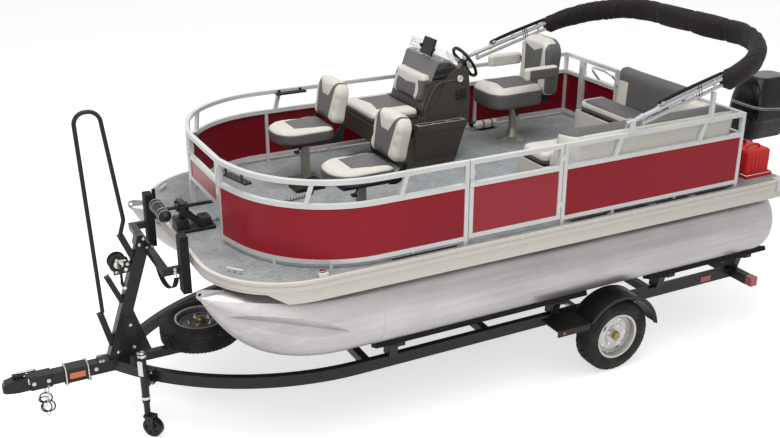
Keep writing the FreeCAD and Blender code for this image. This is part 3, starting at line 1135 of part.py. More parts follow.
def rim():
    """Pressed wheel with its hub: a dished disc inside the rim, on the outboard side at +Y."""
    half, edge = D.tyre_width / 2, D.rim_radius
    band = wheel_profile([(edge - 7, -half + 14), (edge, -half + 14), (edge, half - 14), (edge - 7, half - 14)])
    disc = wheel_profile([(18, 22), (72, 22), (100, 40), (140, 30), (edge - 5, 12), (edge - 5, 20),
                          (140, 38), (100, 48), (70, 30), (18, 30)])
    hub = wheel_profile([(18, -70), (52, -70), (58, -20), (58, 24), (36, 26), (36, 52), (30, 62), (18, 62)])
    ends = [Part.makeCylinder(10, 60, Vector(128, 0, side * 13), Vector(0, 1, 0)) for side in (1, -1)]
    slot = joined(ends + [Part.makeBox(20, 60, 26, Vector(118, 0, -13))])
    slots = [moved(slot, 72 * index + 36, (0, 0, 0), (0, 1, 0)) for index in range(5)]
    return joined([band, disc.cut(slots), hub])


def make_wheels():
    for word, side in (("port", 1), ("starboard", -1)):
        place = (D.axle_x, side * D.wheel_y, D.wheel_radius)
        turn = 0 if side > 0 else 180
        subpart(f"trailer_wheel_{word}", feature(f"Wheel{word.title()}", moved(rim(), turn, place)))
        subpart(f"trailer_tyre_{word}", feature(f"Tyre{word.title()}", moved(tyre(), turn, place)))
    spare = joined([tyre(), rim()])
    z = D.rail_high + 4 + D.tyre_width / 2
    subpart("spare_wheel", feature("SpareWheel", moved(spare, 90, (D.spare_x, 0, z), (1, 0, 0))))


# tongue pieces, drawn in the plane of the centreline as (x, z) pairs
POST_FOOT, POST_HEAD = (2850, 490), (2560, 1360)


def make_winch_post():
    post = square_bar((POST_FOOT[0], 0, POST_FOOT[1]), (POST_HEAD[0], 0, POST_HEAD[1]), 80, 90)
    foot = Part.makeBox(330, 110, 10, Vector(2640, -55, D.rail_high))
    brace = square_bar((2720, 0, 830), (2620, 0, D.rail_high + 4), 50, 90)
    gussets = [side_prism([(2880, 500), (2660, 500), (2690, 800), (2760, 820)], y, y + 6) for y in (40, -46)]
    arms = [square_bar((2850, 0, 600), (2912, 0, 862), 50, 46),
            square_bar((2750, 0, 925), (2836, 0, 1135), 50, 40),
            square_bar((2640, 0, 1250), (2712, 0, 1434), 50, 46)]
    head = side_prism([(2500, 1285), (2625, 1340), (2605, 1420), (2570, 1420)], -48, 48)
    crossbar = Part.makeBox(50, 2 * 470, 50, Vector(2500, -470, 1270))
    tongue = Part.makeBox(500, 82, 90, Vector(2600, -41, D.rail_low))
    guide_arms = [Part.makeBox(84, 40, 50, Vector(2422, side * 450 - 20, 1270)) for side in (1, -1)]
    stand = joined([post, foot, brace, head, crossbar] + gussets + arms + guide_arms).cut(tongue)

    hoop = round_path([(2893, 0, 866), (2935, 0, 2345), (2765, 0, 2345), (2677, 0, 1540), (2709, 0, 1438)],
                      (80, 84, 60))
    subpart("boarding_hoop", feature("BoardingHoop", tube_along(hoop, 15).cut(stand)))

    spool = Part.makeCylinder(52, 60, Vector(2752, -30, 1233), Vector(0, 1, 0))
    flanges = [Part.makeCylinder(66, 6, Vector(2752, y, 1233), Vector(0, 1, 0)) for y in (-36, 30)]
    sides = [side_prism([(2672, 1240), (2652, 1160), (2790, 1150), (2800, 1240), (2760, 1290)], y, y + 5)
             for y in (-42, 37)]
    crank = Part.makeCylinder(9, 70, Vector(2752, 36, 1233), Vector(0, 1, 0))
    handle = Part.makeBox(18, 10, 150, Vector(2743, 96, 1100))
    grip = Part.makeCylinder(13, 90, Vector(2752, 100, 1110), Vector(0, 1, 0))
    winch = joined([spool, crank, handle, grip] + flanges + sides)
    subpart("winch_post", feature("WinchPost", joined([stand, winch])))


def make_coupler():
    tip, low, high = D.coupler_tip, D.rail_low, D.rail_high
    body = side_prism([(3440, low - 4), (3440, high + 4), (3540, high + 12), (tip - 20, high - 6), (tip, high - 34),
                       (tip, low + 12), (3540, low - 4)], -38, 38)
    nose = [e for e in body.Edges if abs(e.BoundBox.XMin - tip) < 1 and e.BoundBox.ZLength > 20]
    body = body.makeFillet(30, nose)
    sleeve = Part.makeBox(150, 96, high - low + 14, Vector(3300, -48, low - 7))
    socket = Part.makeSphere(25.4, Vector(3585, 0, low + 26))
    throat = Part.makeCylinder(25.4, 60, Vector(3585, 0, low - 34))
    latch = Part.makeBox(90, 30, 36, Vector(3470, -15, high + 2))
    lever = Part.makeBox(120, 14, 10, Vector(3400, -7, high + 34))
    tongue = Part.makeBox(400, 82, high - low, Vector(3060, -41, low))
    subpart("coupler", feature("Coupler", joined([body.cut(socket).cut(throat), sleeve, latch, lever]).cut(tongue)))


def make_jack():
    r = D.jack_wheel_radius
    outer = Part.makeCylinder(28, 400, Vector(0, 0, 270))
    plate = Part.makeBox(60, 22, 90, Vector(-30, -28, 400))
    inner = Part.makeCylinder(22, 120, Vector(0, 0, 170))
    crank = Part.makeCylinder(7, 120, Vector(0, 0, 640), Vector(0, 1, 0))
    knob = Part.makeCylinder(12, 70, Vector(0, 110, 634))
    bore = Part.makeCylinder(12.05, 30, Vector(0, -44, JACK_PIVOT), Vector(0, 1, 0))
    tube = joined([outer, plate, inner, crank, knob]).cut(bore)
    subpart("jack_tube", feature("JackTube", by_jack(tube)))

    # the caster trails aft along the rail
    axle_x = -D.caster_trail
    crown = Part.makeCylinder(26, 12, Vector(0, 0, 158))
    bridge = Part.makeBox(80, 66, 10, Vector(-60, -33, 158))
    sides = [side_prism([(16, 160), (-62, 160), (axle_x - 14, r - 14), (axle_x + 14, r - 14)], low, low + 5)
             for low in (-33, 28)]
    pin = Part.makeCylinder(6, 66, Vector(axle_x, -33, r), Vector(0, 1, 0))
    subpart("jack_caster", feature("JackCaster", by_jack(joined([crown, bridge, pin] + sides))))
    wheel = Part.makeCylinder(r, 44, Vector(axle_x, -22, r), Vector(0, 1, 0))
    bore = Part.makeCylinder(6.05, 60, Vector(axle_x, -30, r), Vector(0, 1, 0))
    holes = []
    for index in range(5):
        angle = 2 * math.pi * index / 5
        centre = Vector(axle_x + 42 * math.cos(angle), -30, r + 42 * math.sin(angle))
        holes.append(Part.makeCylinder(9, 60, centre, Vector(0, 1, 0)))
    subpart("jack_wheel", feature("JackWheel", by_jack(wheel.cut([bore] + holes))))


def make_lamps():
    lamps = []
    for side in (1, -1):
        low = min(side * 1085, side * 1150)
        lamps.append(Part.makeBox(70, 65, 80, Vector(D.rail_rear, low, D.rail_low + 8)))
        y = side * (D.rail_y + D.rail_width / 2)
        lamps.append(Part.makeBox(110, 5, 50, Vector(-2060, min(y, y + side * 5), D.rail_low + 20)))
        y = side * 52
        lamps.append(Part.makeBox(110, 4, 44, Vector(3070, min(y, y + side * 4), D.rail_low + 22)))
    subpart("trailer_lamps", feature("TrailerLamps", Part.makeCompound(lamps)))


# ---------------------------------------------------------------- build, check and write
make_deck()
make_deck_frame(make_pontoons())
make_fences()
make_pedestals()
make_chairs()
make_captain_seat()
make_console()
make_lounge()
make_fuel_tank()
make_outboard()
make_trolling_motor()
make_pedal_lead()
make_trays()
make_folding_top()
subpart("deck_fittings", feature("DeckFittings", Part.makeCompound(make_top_mounts() + make_ladder() + make_small_fittings())))
make_trailer()
make_wheels()
make_winch_post()
make_coupler()
make_jack()
make_lamps()

doc.recompute()
for item in doc.Objects:
    if {"Invalid", "Error"} & set(item.State):
        raise RuntimeError(f"{item.Name} failed: {item.State}")
for item in SUBPARTS:
    if item.Shape.isNull() or not item.Shape.isValid():
        raise RuntimeError(f"{item.Label} has no valid shape")

os.makedirs("parts", exist_ok=True)
for item in SUBPARTS:
    item.Shape.exportStep(f"parts/{item.Label}.step")
print(len(SUBPARTS), "sub-parts written")
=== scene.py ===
# Pontoon fishing boat on its trailer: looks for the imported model.
import math

import bpy
from mathutils import Matrix, Vector, noise


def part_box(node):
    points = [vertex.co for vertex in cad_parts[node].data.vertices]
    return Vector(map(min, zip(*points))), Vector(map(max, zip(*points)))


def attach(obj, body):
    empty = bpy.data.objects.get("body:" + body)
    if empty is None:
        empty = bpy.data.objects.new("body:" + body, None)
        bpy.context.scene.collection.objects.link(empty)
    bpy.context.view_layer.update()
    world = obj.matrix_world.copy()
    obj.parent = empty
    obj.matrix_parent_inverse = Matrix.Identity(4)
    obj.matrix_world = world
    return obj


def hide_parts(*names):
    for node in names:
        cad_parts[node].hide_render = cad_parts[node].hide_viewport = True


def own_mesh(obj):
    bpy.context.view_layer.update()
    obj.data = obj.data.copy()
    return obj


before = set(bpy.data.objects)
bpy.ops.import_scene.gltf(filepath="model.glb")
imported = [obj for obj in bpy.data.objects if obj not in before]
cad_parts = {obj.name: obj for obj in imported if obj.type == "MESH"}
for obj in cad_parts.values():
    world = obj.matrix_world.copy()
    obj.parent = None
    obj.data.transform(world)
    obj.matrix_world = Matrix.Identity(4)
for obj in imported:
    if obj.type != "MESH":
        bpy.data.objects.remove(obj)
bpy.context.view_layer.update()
scene = bpy.context.scene
print("frame loaded")


def rgb(red, green, blue):  # screen colour, 0 to 255, as the shader wants it
    linear = [((v / 255 + 0.055) / 1.055) ** 2.4 if v > 10 else v / 255 / 12.92 for v in (red, green, blue)]
    return (*linear, 1)


class Value:  # one output socket that takes part in sums
    def __init__(self, look, socket):
        self.look, self.socket = look, socket

    def sum(self, how, *terms):
        return self.look.node("ShaderNodeMath", {"operation": how}, dict(enumerate(terms)))

    def __add__(self, other): return self.sum("ADD", self, other)
    def __radd__(self, other): return self.sum("ADD", other, self)
    def __sub__(self, other): return self.sum("SUBTRACT", self, other)
    def __rsub__(self, other): return self.sum("SUBTRACT", other, self)
    def __mul__(self, other): return self.sum("MULTIPLY", self, other)
    def __rmul__(self, other): return self.sum("MULTIPLY", other, self)
    def __truediv__(self, other): return self.sum("DIVIDE", self, other)
    def __abs__(self): return self.sum("ABSOLUTE", self)
    def low(self, other): return self.sum("MINIMUM", self, other)
    def high(self, other): return self.sum("MAXIMUM", self, other)
    def wave(self): return self.sum("SINE", self)

    def step(self, start, end):  # 0 at start to 1 at end, smoothly
        return self.look.node("ShaderNodeMapRange", {"interpolation_type": "SMOOTHSTEP"},
                              {"Value": self, "From Min": start, "From Max": end}, "Result")


class Look:  # a material under construction
    def __init__(self, name, color, rough=0.5, metal=0.0, **fixed):
        self.material = bpy.data.materials.new(name)
        self.material.use_nodes = True
        self.tree = self.material.node_tree
        self.surface = self.tree.nodes["Principled BSDF"]
        self.set(**{"Base Color": color, "Roughness": rough, "Metallic": metal})
        self.set(**{key.replace("_", " "): value for key, value in fixed.items()})

    def node(self, kind, settings=None, inputs=None, output=0):
        made = self.tree.nodes.new(kind)
        for key, value in (settings or {}).items():
            setattr(made, key, value)
        for key, value in (inputs or {}).items():
            self.join(made.inputs[key], value)
        return Value(self, made.outputs[output])

    def join(self, socket, value):
        if isinstance(value, Value):
            self.tree.links.new(value.socket, socket)
        elif value is not None:
            socket.default_value = value

    def set(self, **inputs):
        for key, value in inputs.items():
            self.join(self.surface.inputs[key], value)
        return self

    def place(self, stretch=(1, 1, 1)):
        spot = self.node("ShaderNodeTexCoord", output="Object")
        return self.node("ShaderNodeMapping", None, {"Vector": spot, "Scale": stretch})

    def split(self, vector):
        parts = self.node("ShaderNodeSeparateXYZ", None, {0: vector}).socket.node.outputs
        return [Value(self, part) for part in parts]

    def axes(self):
        return self.split(self.place())

    def noise(self, scale, detail=3, stretch=(1, 1, 1), rough=0.5):
        return self.node("ShaderNodeTexNoise", None, {"Vector": self.place(stretch), "Scale": scale,
                                                      "Detail": detail, "Roughness": rough})

    def cells(self, scale, feature="F1"):
        return self.node("ShaderNodeTexVoronoi", {"feature": feature},
                         {"Vector": self.place(), "Scale": scale}, "Distance")

    def mix(self, share, first, second):
        return self.node("ShaderNodeMix", {"data_type": "RGBA", "clamp_factor": True},
                         {0: share, 6: first, 7: second}, 2)

    def bump(self, height, depth, strength, over=None):
        return self.node("ShaderNodeBump", None, {"Strength": strength, "Distance": depth, "Height": height,
                                                  "Normal": over})


def shade(color, factor):
    return (*[min(1, c * factor) for c in color[:3]], 1)


def wornPaint(name, color, rough=0.35, metal=0.0, grain=0.12, coat=0.0, bumpDepth=0.0002):
    look = Look(name, color, rough, metal, Coat_Weight=coat, Specular_IOR_Level=0.22)
    cloud, fine = look.noise(3.5, 4), look.noise(160, 2)
    look.set(**{"Base Color": look.mix(cloud, shade(color, 1 - grain), shade(color, 1 + grain * 0.6)),
                "Roughness": rough + (cloud - 0.5) * 0.16, "Normal": look.bump(fine, bumpDepth, 0.5)})
    return look


def brushedMetal(name, color, rough, along, grain=0.10):
    look = Look(name, color, rough, 1.0)
    stretch = [0.02 if axis == along else 1 for axis in range(3)]
    hair, cloud = look.noise(420, 3, stretch), look.noise(2.6, 4)
    look.set(**{"Base Color": look.mix(hair * 0.55 + cloud * 0.45, shade(color, 1 - grain), shade(color, 1 + grain)),
                "Roughness": rough + (hair - 0.5) * 0.18 + (cloud - 0.5) * 0.12,
                "Normal": look.bump(hair, 0.00015, 0.6)})
    return look


# weld stations along the pontoons, and the heights over which painted shade darkens them low down
hullMarks = {"welds": (-1.24, -0.02, 1.237), "paintedUnderShade": (0.86, 0.70)}


def hullMetal():
    # rolled sheet: a soft etched skin, weld rings across it and painted shade that darkens the pontoons low down, on
    # the side turned from the light
    color = rgb(186, 181, 181)
    look = Look("hullMetal", color, 0.36, 0.70)
    x, _, z = look.axes()
    cloud, streak = look.noise(2.0, 5, (0.6, 1, 1.6)), look.noise(30, 4, (0.05, 1, 1))
    hair = look.noise(260, 2, (1, 0.03, 0.03))
    ring = 0
    for station in hullMarks["welds"]:
        ring = ring + (1 - abs(x - station).step(0.004, 0.010))
    tone = look.mix((cloud * 0.6 + streak * 0.3 + hair * 0.1).step(0.28, 0.72), shade(color, 0.74),
                    shade(color, 1.14))
    # painted shade: below this height the pontoon is darkened as if in its own shadow
    tone = look.mix(z.step(*hullMarks["paintedUnderShade"]) * 0.35, tone, shade(color, 0.62))
    look.set(**{"Base Color": tone, "Roughness": 0.34 + (cloud - 0.5) * 0.22 + (streak - 0.5) * 0.10,
                "Normal": look.bump(hair * 0.3 + streak * 0.5 + ring * 1.6, 0.0006, 0.7)})
    return look


def carpet(name, color, dark, flecks=260.0, depth=0.0022):
    look = Look(name, color, 0.95, 0.0, Sheen_Weight=0.08, Specular_IOR_Level=0.15)
    tuft, weave = look.noise(flecks, 3, rough=0.8), look.noise(60, 4, (0.28, 1, 1), 0.75)
    broad, fleck = look.noise(5, 4), look.cells(flecks * 0.7)
    tone = look.mix(tuft.step(0.30, 0.72), dark, color)
    tone = look.mix(weave.step(0.62, 0.36) * 0.55, tone, shade(dark, 0.85))
    tone = look.mix(broad.step(0.35, 0.7) * 0.22, tone, shade(color, 1.18))
    look.set(**{"Base Color": tone, "Normal": look.bump(tuft * 0.6 + weave * 0.7 + fleck * 0.4, depth, 0.8)})
    return look


enamel = {"outside": rgb(152, 30, 42), "inside": rgb(112, 14, 26), "middle": -0.4}


def panelSkin():
    # enamelled sheet: bright where it looks away from the boat's middle, deeper inside
    outside, inside = enamel["outside"], enamel["inside"]
    look = Look("panelSkin", outside, 0.30, 0.0, Specular_IOR_Level=0.16)
    x, y, _ = look.axes()
    normal = look.split(look.node("ShaderNodeNewGeometry", output="Normal"))
    away = (normal[0] * (x - enamel["middle"]) + normal[1] * y).step(-0.01, 0.01)
    orange, wavy = look.noise(320, 2), look.noise(1.6, 2)
    tone = look.mix(away, inside, outside)
    tone = look.mix(look.noise(1.1, 3).step(0.3, 0.7) * 0.25, tone, shade(inside, 0.85))
    look.set(**{"Base Color": tone, "Roughness": 0.30 + (wavy - 0.5) * 0.10,
                "Normal": look.bump(orange * 0.06 + wavy, 0.0012, 0.5)})
    return look


# the sheet of each gate: axis across it, its level there, which side is outside, its two ends and its foot
gateSheets = {"port": (1, 1.1585, 1, -0.181, 0.533, 1.462), "bow": (0, 2.0792, 1, -0.297, 0.297, 1.672),
              "stern": (0, -1.9385, -1, -0.852, -0.398, 1.462)}
sheetForm = {"half": 0.0030, "head": 1.808, "edge": (0.0008, 0.0014)}


def tubePaint(name="tubePaint", gate=None):
    # satin silver tube; a gate also holds its enamelled sheet, found by its plane
    look = Look(name, rgb(206, 206, 204), 0.30, 0.25, Specular_IOR_Level=0.3)
    cloud, fine = look.noise(4, 4), look.noise(260, 2)
    tone, metal = look.mix(cloud, rgb(196, 196, 194), rgb(216, 216, 214)), 0.25
    if gate:
        place = look.axes()
        (axis, level, hand, low, high, foot), edge = gate, sheetForm["edge"]
        sheet = (sheetForm["half"] - abs(place[axis] - level)).step(0, 0.0006) * (place[2] - foot).step(*edge)
        sheet = sheet * (sheetForm["head"] - place[2]).step(*edge)
        sheet = sheet * ((high - low) / 2 - abs(place[1 - axis] - (low + high) / 2)).step(*edge)
        red = look.mix(((place[axis] - level) * hand).step(-0.0002, 0.0002), enamel["inside"], enamel["outside"])
        tone, metal = look.mix(sheet, tone, red), (1 - sheet) * 0.25
    look.set(**{"Base Color": tone, "Metallic": metal, "Roughness": 0.28 + (cloud - 0.5) * 0.06,
                "Normal": look.bump(fine, 0.0002, 0.4)})
    return look


def vinyl(name, color, rough=0.46):
    look = Look(name, color, rough, 0.0, Specular_IOR_Level=0.28)
    look.grain = look.cells(420, "DISTANCE_TO_EDGE")
    look.cloud = look.noise(7, 4)
    look.base = look.mix(look.cloud, shade(color, 0.93), shade(color, 1.04))
    look.set(**{"Base Color": look.base, "Roughness": rough + (look.cloud - 0.5) * 0.12,
                "Normal": look.bump(look.grain.step(0, 0.25), 0.0006, 0.35)})
    return look


lightVinyl, darkVinyl = rgb(206, 204, 194), rgb(92, 89, 90)


def mouldedPlastic(name, color, rough=0.5, pebble=330.0, depth=0.0004):
    look = Look(name, color, rough, Specular_IOR_Level=0.22)
    cloud, dots = look.noise(4, 4), look.noise(pebble, 3, rough=0.7)
    look.set(**{"Base Color": look.mix(cloud, shade(color, 0.88), shade(color, 1.10)),
                "Roughness": rough + (dots - 0.5) * 0.22 + (cloud - 0.5) * 0.10,
                "Normal": look.bump(dots, depth, 0.6)})
    return look


def gloss(name, color, rough=0.12, **more):
    look = Look(name, color, rough, 0.0, Coat_Weight=0.25, Coat_Roughness=0.04, **more)
    cloud = look.noise(3, 3)
    look.set(**{"Base Color": look.mix(cloud, shade(color, 0.9), shade(color, 1.08)),
                "Roughness": rough + (cloud - 0.5) * 0.06, "Normal": look.bump(look.noise(2.4, 2), 0.0006, 0.3)})
    return look


def galvanised():
    look = Look("galvanised", rgb(170, 172, 172), 0.42, 0.85)
    spangle, cloud = look.cells(140), look.noise(6, 4)
    look.set(**{"Base Color": look.mix(spangle * 0.6 + cloud * 0.4, rgb(140, 142, 142), rgb(198, 200, 200)),
                "Roughness": 0.36 + spangle * 0.2, "Normal": look.bump(cloud, 0.0004, 0.4)})
    return look


def rubberLook():
    look = Look("tyreRubber", rgb(40, 39, 39), 0.72, Specular_IOR_Level=0.15)
    dust, fine = look.noise(9, 5), look.noise(400, 2)
    look.set(**{"Base Color": look.mix(dust.step(0.35, 0.75), rgb(32, 31, 31), rgb(62, 60, 58)),
                "Roughness": 0.66 + (dust - 0.5) * 0.2, "Normal": look.bump(fine, 0.0003, 0.5)})
    return look


def clothLook():
    look = Look("bootCloth", rgb(34, 29, 31), 0.82, 0.0, Sheen_Weight=0.06, Sheen_Roughness=0.5,
                Specular_IOR_Level=0.15)
    thread, crease, cloud = look.noise(900, 2), look.noise(11, 4, (1, 0.35, 1)), look.noise(3, 4)
    # the fold noise also sets the colour, darker in its troughs and lighter on its ridges: painted shade in the
    # folds, mixed half and half with random tone
    look.set(**{"Base Color": look.mix(crease * 0.5 + cloud * 0.5, rgb(22, 18, 20), rgb(46, 40, 42)),
                "Roughness": 0.76 + (cloud - 0.5) * 0.14,
                "Normal": look.bump(crease, 0.006, 0.45, look.bump(thread, 0.0006, 0.5))})
    return look


towerBands = {"pod": (2.1035, 2.1045), "housing": (2.2745, 2.2750), "y": -0.72, "half": 0.2815}


def consoleSkin():
    # dark tower, grey pod above it and a black screen housing on the stalk, by height and width
    tower, pod, housing = rgb(74, 68, 62), rgb(112, 111, 110), rgb(24, 24, 25)
    look = Look("consolePlastic", tower, 0.46, Specular_IOR_Level=0.25)
    _, y, z = look.axes()
    cloud, dots = look.noise(4, 4), look.noise(330, 3, rough=0.7)
    inPod = z.step(*towerBands["pod"]) * (abs(y - towerBands["y"]) - towerBands["half"]).step(0.001, 0)
    tone = look.mix(z.step(*towerBands["housing"]), look.mix(inPod, tower, pod), housing)
    look.set(**{"Base Color": look.mix(cloud.step(0.3, 0.7) * 0.12, tone, rgb(20, 18, 17)),
                "Roughness": 0.42 + (dots - 0.5) * 0.2, "Normal": look.bump(dots, 0.0004, 0.6)})
    return look


def lampLens():
    # amber on the tongue, red behind, with moulded prisms
    look = Look("lampLens", rgb(170, 20, 18), 0.12, 0.0, Coat_Weight=0.5)
    x, _, z = look.axes()
    prism = ((x * 900).wave() * (z * 900).wave()).step(-0.6, 0.9)
    look.set(**{"Base Color": look.mix(x.step(2.9, 2.95), rgb(168, 22, 20), rgb(224, 104, 26)),
                "Roughness": 0.10 + prism * 0.1, "Normal": look.bump(prism, 0.0012, 0.6)})
    return look


looks = {
    "lamps": lampLens(),
    "topTube": wornPaint("topSilver", rgb(186, 186, 188), 0.34, 0.35, 0.05),
    "strap": carpet("webbing", rgb(40, 38, 38), rgb(20, 19, 20), 700.0, 0.0008),
    "zinc": brushedMetal("zincPlate", rgb(196, 196, 192), 0.26, 1),
    "brass": brushedMetal("hubBrass", rgb(146, 132, 84), 0.34, 1),
    "hull": hullMetal(),
    "deck": carpet("deckCarpet", rgb(184, 187, 187), rgb(116, 121, 125), 190.0),
    "bunk": carpet("bunkCarpet", rgb(50, 48, 49), rgb(26, 25, 26), 340.0),
    "panel": panelSkin(),
    "tube": tubePaint(),
    "cream": wornPaint("railCream", rgb(216, 212, 203), 0.38, grain=0.05),
    "light": vinyl("lightVinyl", lightVinyl),
    "dark": vinyl("darkVinyl", darkVinyl),
    "console": consoleSkin(),
    "shell": mouldedPlastic("blackShell", rgb(28, 27, 28), 0.42),
    "black": wornPaint("blackEnamel", rgb(34, 31, 30), 0.36, coat=0.08, grain=0.2),
    "steel": galvanised(),
    "tray": mouldedPlastic("trayBlack", rgb(34, 33, 34), 0.45),
    "chrome": brushedMetal("chromePlate", rgb(226, 226, 226), 0.10, 2, 0.03),
    "alloy": brushedMetal("brushedAlloy", rgb(214, 214, 214), 0.30, 0),
    "wheel": wornPaint("wheelSilver", rgb(196, 194, 190), 0.30, 0.6, 0.06, 0.3),
    "tyre": rubberLook(),
    "boot": clothLook(),
    "cowl": gloss("cowlBlack", rgb(20, 20, 22), 0.22, Specular_IOR_Level=0.35),
    "motor": wornPaint("motorGrey", rgb(96, 96, 98), 0.4, 0.3),
    "propeller": wornPaint("propellerBlack", rgb(34, 34, 35), 0.3),
    "tank": mouldedPlastic("tankRed", rgb(206, 40, 40), 0.36, 260),
    "post": wornPaint("postGrey", rgb(158, 153, 146), 0.30, 0.35, 0.06),
    # the trailer rims' silver darkened for the spare: painted shade, as it lies in shadow
    "spareShadedRim": wornPaint("spareSilverPaintedShade", rgb(104, 102, 99), 0.4, 0.4, 0.05),
    "red": gloss("lensRed", rgb(170, 20, 18), 0.1),
    "amber": gloss("lensAmber", rgb(232, 96, 22), 0.12),
    "white": gloss("dialWhite", rgb(235, 234, 228), 0.2),
    "seatBase": mouldedPlastic("seatBase", rgb(196, 192, 182), 0.5),
    "screen": Look("clearScreen", rgb(236, 240, 242), 0.03, 0.0, Transmission_Weight=0.92, IOR=1.2, Alpha=0.55),
}
for gateSide, sheet in gateSheets.items():
    looks[f"{gateSide}Gate"] = tubePaint(f"{gateSide}GatePaint", sheet)

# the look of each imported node, listed look by look
lookNodes = {
    "hull": "pontoons",
    "deck": "deck_floor",
    "alloy": "deck_frame boarding_ladder",
    "cream": "rub_rail",
    "panel": "panel_port panel_starboard",
    "tube": "fence_port_bow fence_port_stern fence_starboard fence_stern deck_fittings",
    "portGate": "gate_port",
    "bowGate": "gate_bow",
    "sternGate": "gate_stern",
    "tray": "rail_trays",
    "shell": "pedal_cord helm_wheel trolling_motor trolling_propeller jack_wheel",
    "post": "seat_pedestals",
    "console": "console",
    "screen": "windscreen",
    "seatBase": "lounge_base",
    "tank": "fuel_tank",
    "black": "outboard_clamp trolling_mount trailer_frame trailer_fenders winch_post boarding_hoop coupler "
             "jack_tube jack_caster",
    "motor": "outboard_swivel outboard_leg",
    "cowl": "outboard_cowl",
    "propeller": "outboard_propeller",
    "topTube": "top_frame",
    "boot": "top_boot",
    "bunk": "trailer_bunks",
    "steel": "trailer_axle",
    "wheel": "trailer_wheel_port trailer_wheel_starboard",
    "tyre": "trailer_tyre_port trailer_tyre_starboard spare_wheel",
    "lamps": "trailer_lamps",
    "light": "bench_lid console_backrest lounge_backrest lounge_lid livewell_lid chair_port_seat "
             "chair_port_back chair_starboard_seat chair_starboard_back",
    "dark": "captain_seat captain_armrests",
}
for lookName, nodeNames in lookNodes.items():
    for node in nodeNames.split():
        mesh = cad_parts[node].data
        mesh.materials.clear()
        mesh.materials.append(looks[lookName].material)
print("materials ready")

stage = {"floor": 60.0, "floorGlow": 0.60, "skyLevel": 0.44, "lens": 46.94, "sensor": 36,
         "cameraPlace": (4.0165, 6.7011, 4.2528), "cameraAim": (-0.42188, -0.82293, -0.38053),
         "lamps": {"keyLamp": ((1.5, 1.0, 7.5), 7.0, 440, (-0.5, 0, 0.6)),
                   "fillLamp": ((4.5, 8.5, 4.0), 6.0, 150, (0, 0, 1))}}


def makeStage():
    bpy.ops.mesh.primitive_grid_add(size=stage["floor"], x_subdivisions=8, y_subdivisions=8)
    floor = bpy.context.object
    floor.name = "studioFloor"
    look = Look("studioFloor", (0.80, 0.80, 0.80, 1), 1.0, Specular_IOR_Level=0.0,
                Emission_Strength=stage["floorGlow"])
    rays = [look.node("ShaderNodeLightPath", output=f"Is {kind} Ray")
            for kind in ("Camera", "Glossy", "Transmission")]
    look.set(**{"Emission Color": look.mix(rays[0].high(rays[1]).high(rays[2]), (0, 0, 0, 1), (1, 1, 1, 1))})
    floor.data.materials.append(look.material)
    world = bpy.data.worlds.new("studioSky")
    world.use_nodes = True
    scene.world = world
    nodes, links = world.node_tree.nodes, world.node_tree.links
    sky, seen = nodes["Background"], nodes.new("ShaderNodeBackground")
    for shader, strength in ((sky, stage["skyLevel"]), (seen, 1.0)):
        shader.inputs["Color"].default_value = (1, 1, 1, 1)
        shader.inputs["Strength"].default_value = strength
    path, choose = nodes.new("ShaderNodeLightPath"), nodes.new("ShaderNodeMixShader")
    either = path.outputs["Is Camera Ray"]
    for kind in ("Is Glossy Ray", "Is Transmission Ray"):
        most = nodes.new("ShaderNodeMath")
        most.operation = "MAXIMUM"
        links.new(either, most.inputs[0])
        links.new(path.outputs[kind], most.inputs[1])
        either = most.outputs[0]
    links.new(either, choose.inputs["Fac"])
    links.new(sky.outputs["Background"], choose.inputs[1])
    links.new(seen.outputs["Background"], choose.inputs[2])
    links.new(choose.outputs["Shader"], nodes["World Output"].inputs["Surface"])
    for name, (place, size, power, aim) in stage["lamps"].items():
        lamp = bpy.data.lights.new(name, "AREA")
        lamp.energy, lamp.size = power, size
        holder = bpy.data.objects.new(name, lamp)
        holder.location = place
        holder.rotation_euler = (Vector(aim) - Vector(place)).to_track_quat("-Z", "Y").to_euler()
        scene.collection.objects.link(holder)
    eye = bpy.data.cameras.new("camera")
    eye.lens, eye.sensor_width = stage["lens"], stage["sensor"]
    holder = bpy.data.objects.new("camera", eye)
    holder.location = stage["cameraPlace"]
    holder.rotation_euler = Vector(stage["cameraAim"]).to_track_quat("-Z", "Y").to_euler()
    scene.collection.objects.link(holder)
    scene.camera = holder
    scene.view_settings.view_transform = "Standard"
    print("stage and camera set")


makeStage()


def strand(name, points, curved=True, closed=False, **settings):  # a curve object through the points
    curve = bpy.data.curves.new(name, "CURVE")
    curve.dimensions = "3D"
    for key, value in settings.items():
        setattr(curve, key, value)
    line = curve.splines.new("NURBS" if curved else "POLY")
    line.points.add(len(points) - 1)
    for spot, point in zip(line.points, points):
        spot.co = (*point, 1)
    if curved:
        line.order_u = 3
        line.use_endpoint_u = not closed
    line.use_cyclic_u = closed
    piece = bpy.data.objects.new(name, curve)
    scene.collection.objects.link(piece)
    return piece


pedalLead = {"z": 1.3973, "points": ((1.128, -0.2728), (1.142, -0.205), (1.330, -0.172), (1.490, -0.140),
                                     (1.690, -0.164), (1.850, -0.098), (1.950, -0.052), (2.039, -0.045)),
             "coilRadius": 0.0098, "wire": 0.0031, "pitch": 0.0260, "plain": 0.060, "rise": 0.0032, "turnPoints": 16,
             "plainStep": 0.004}


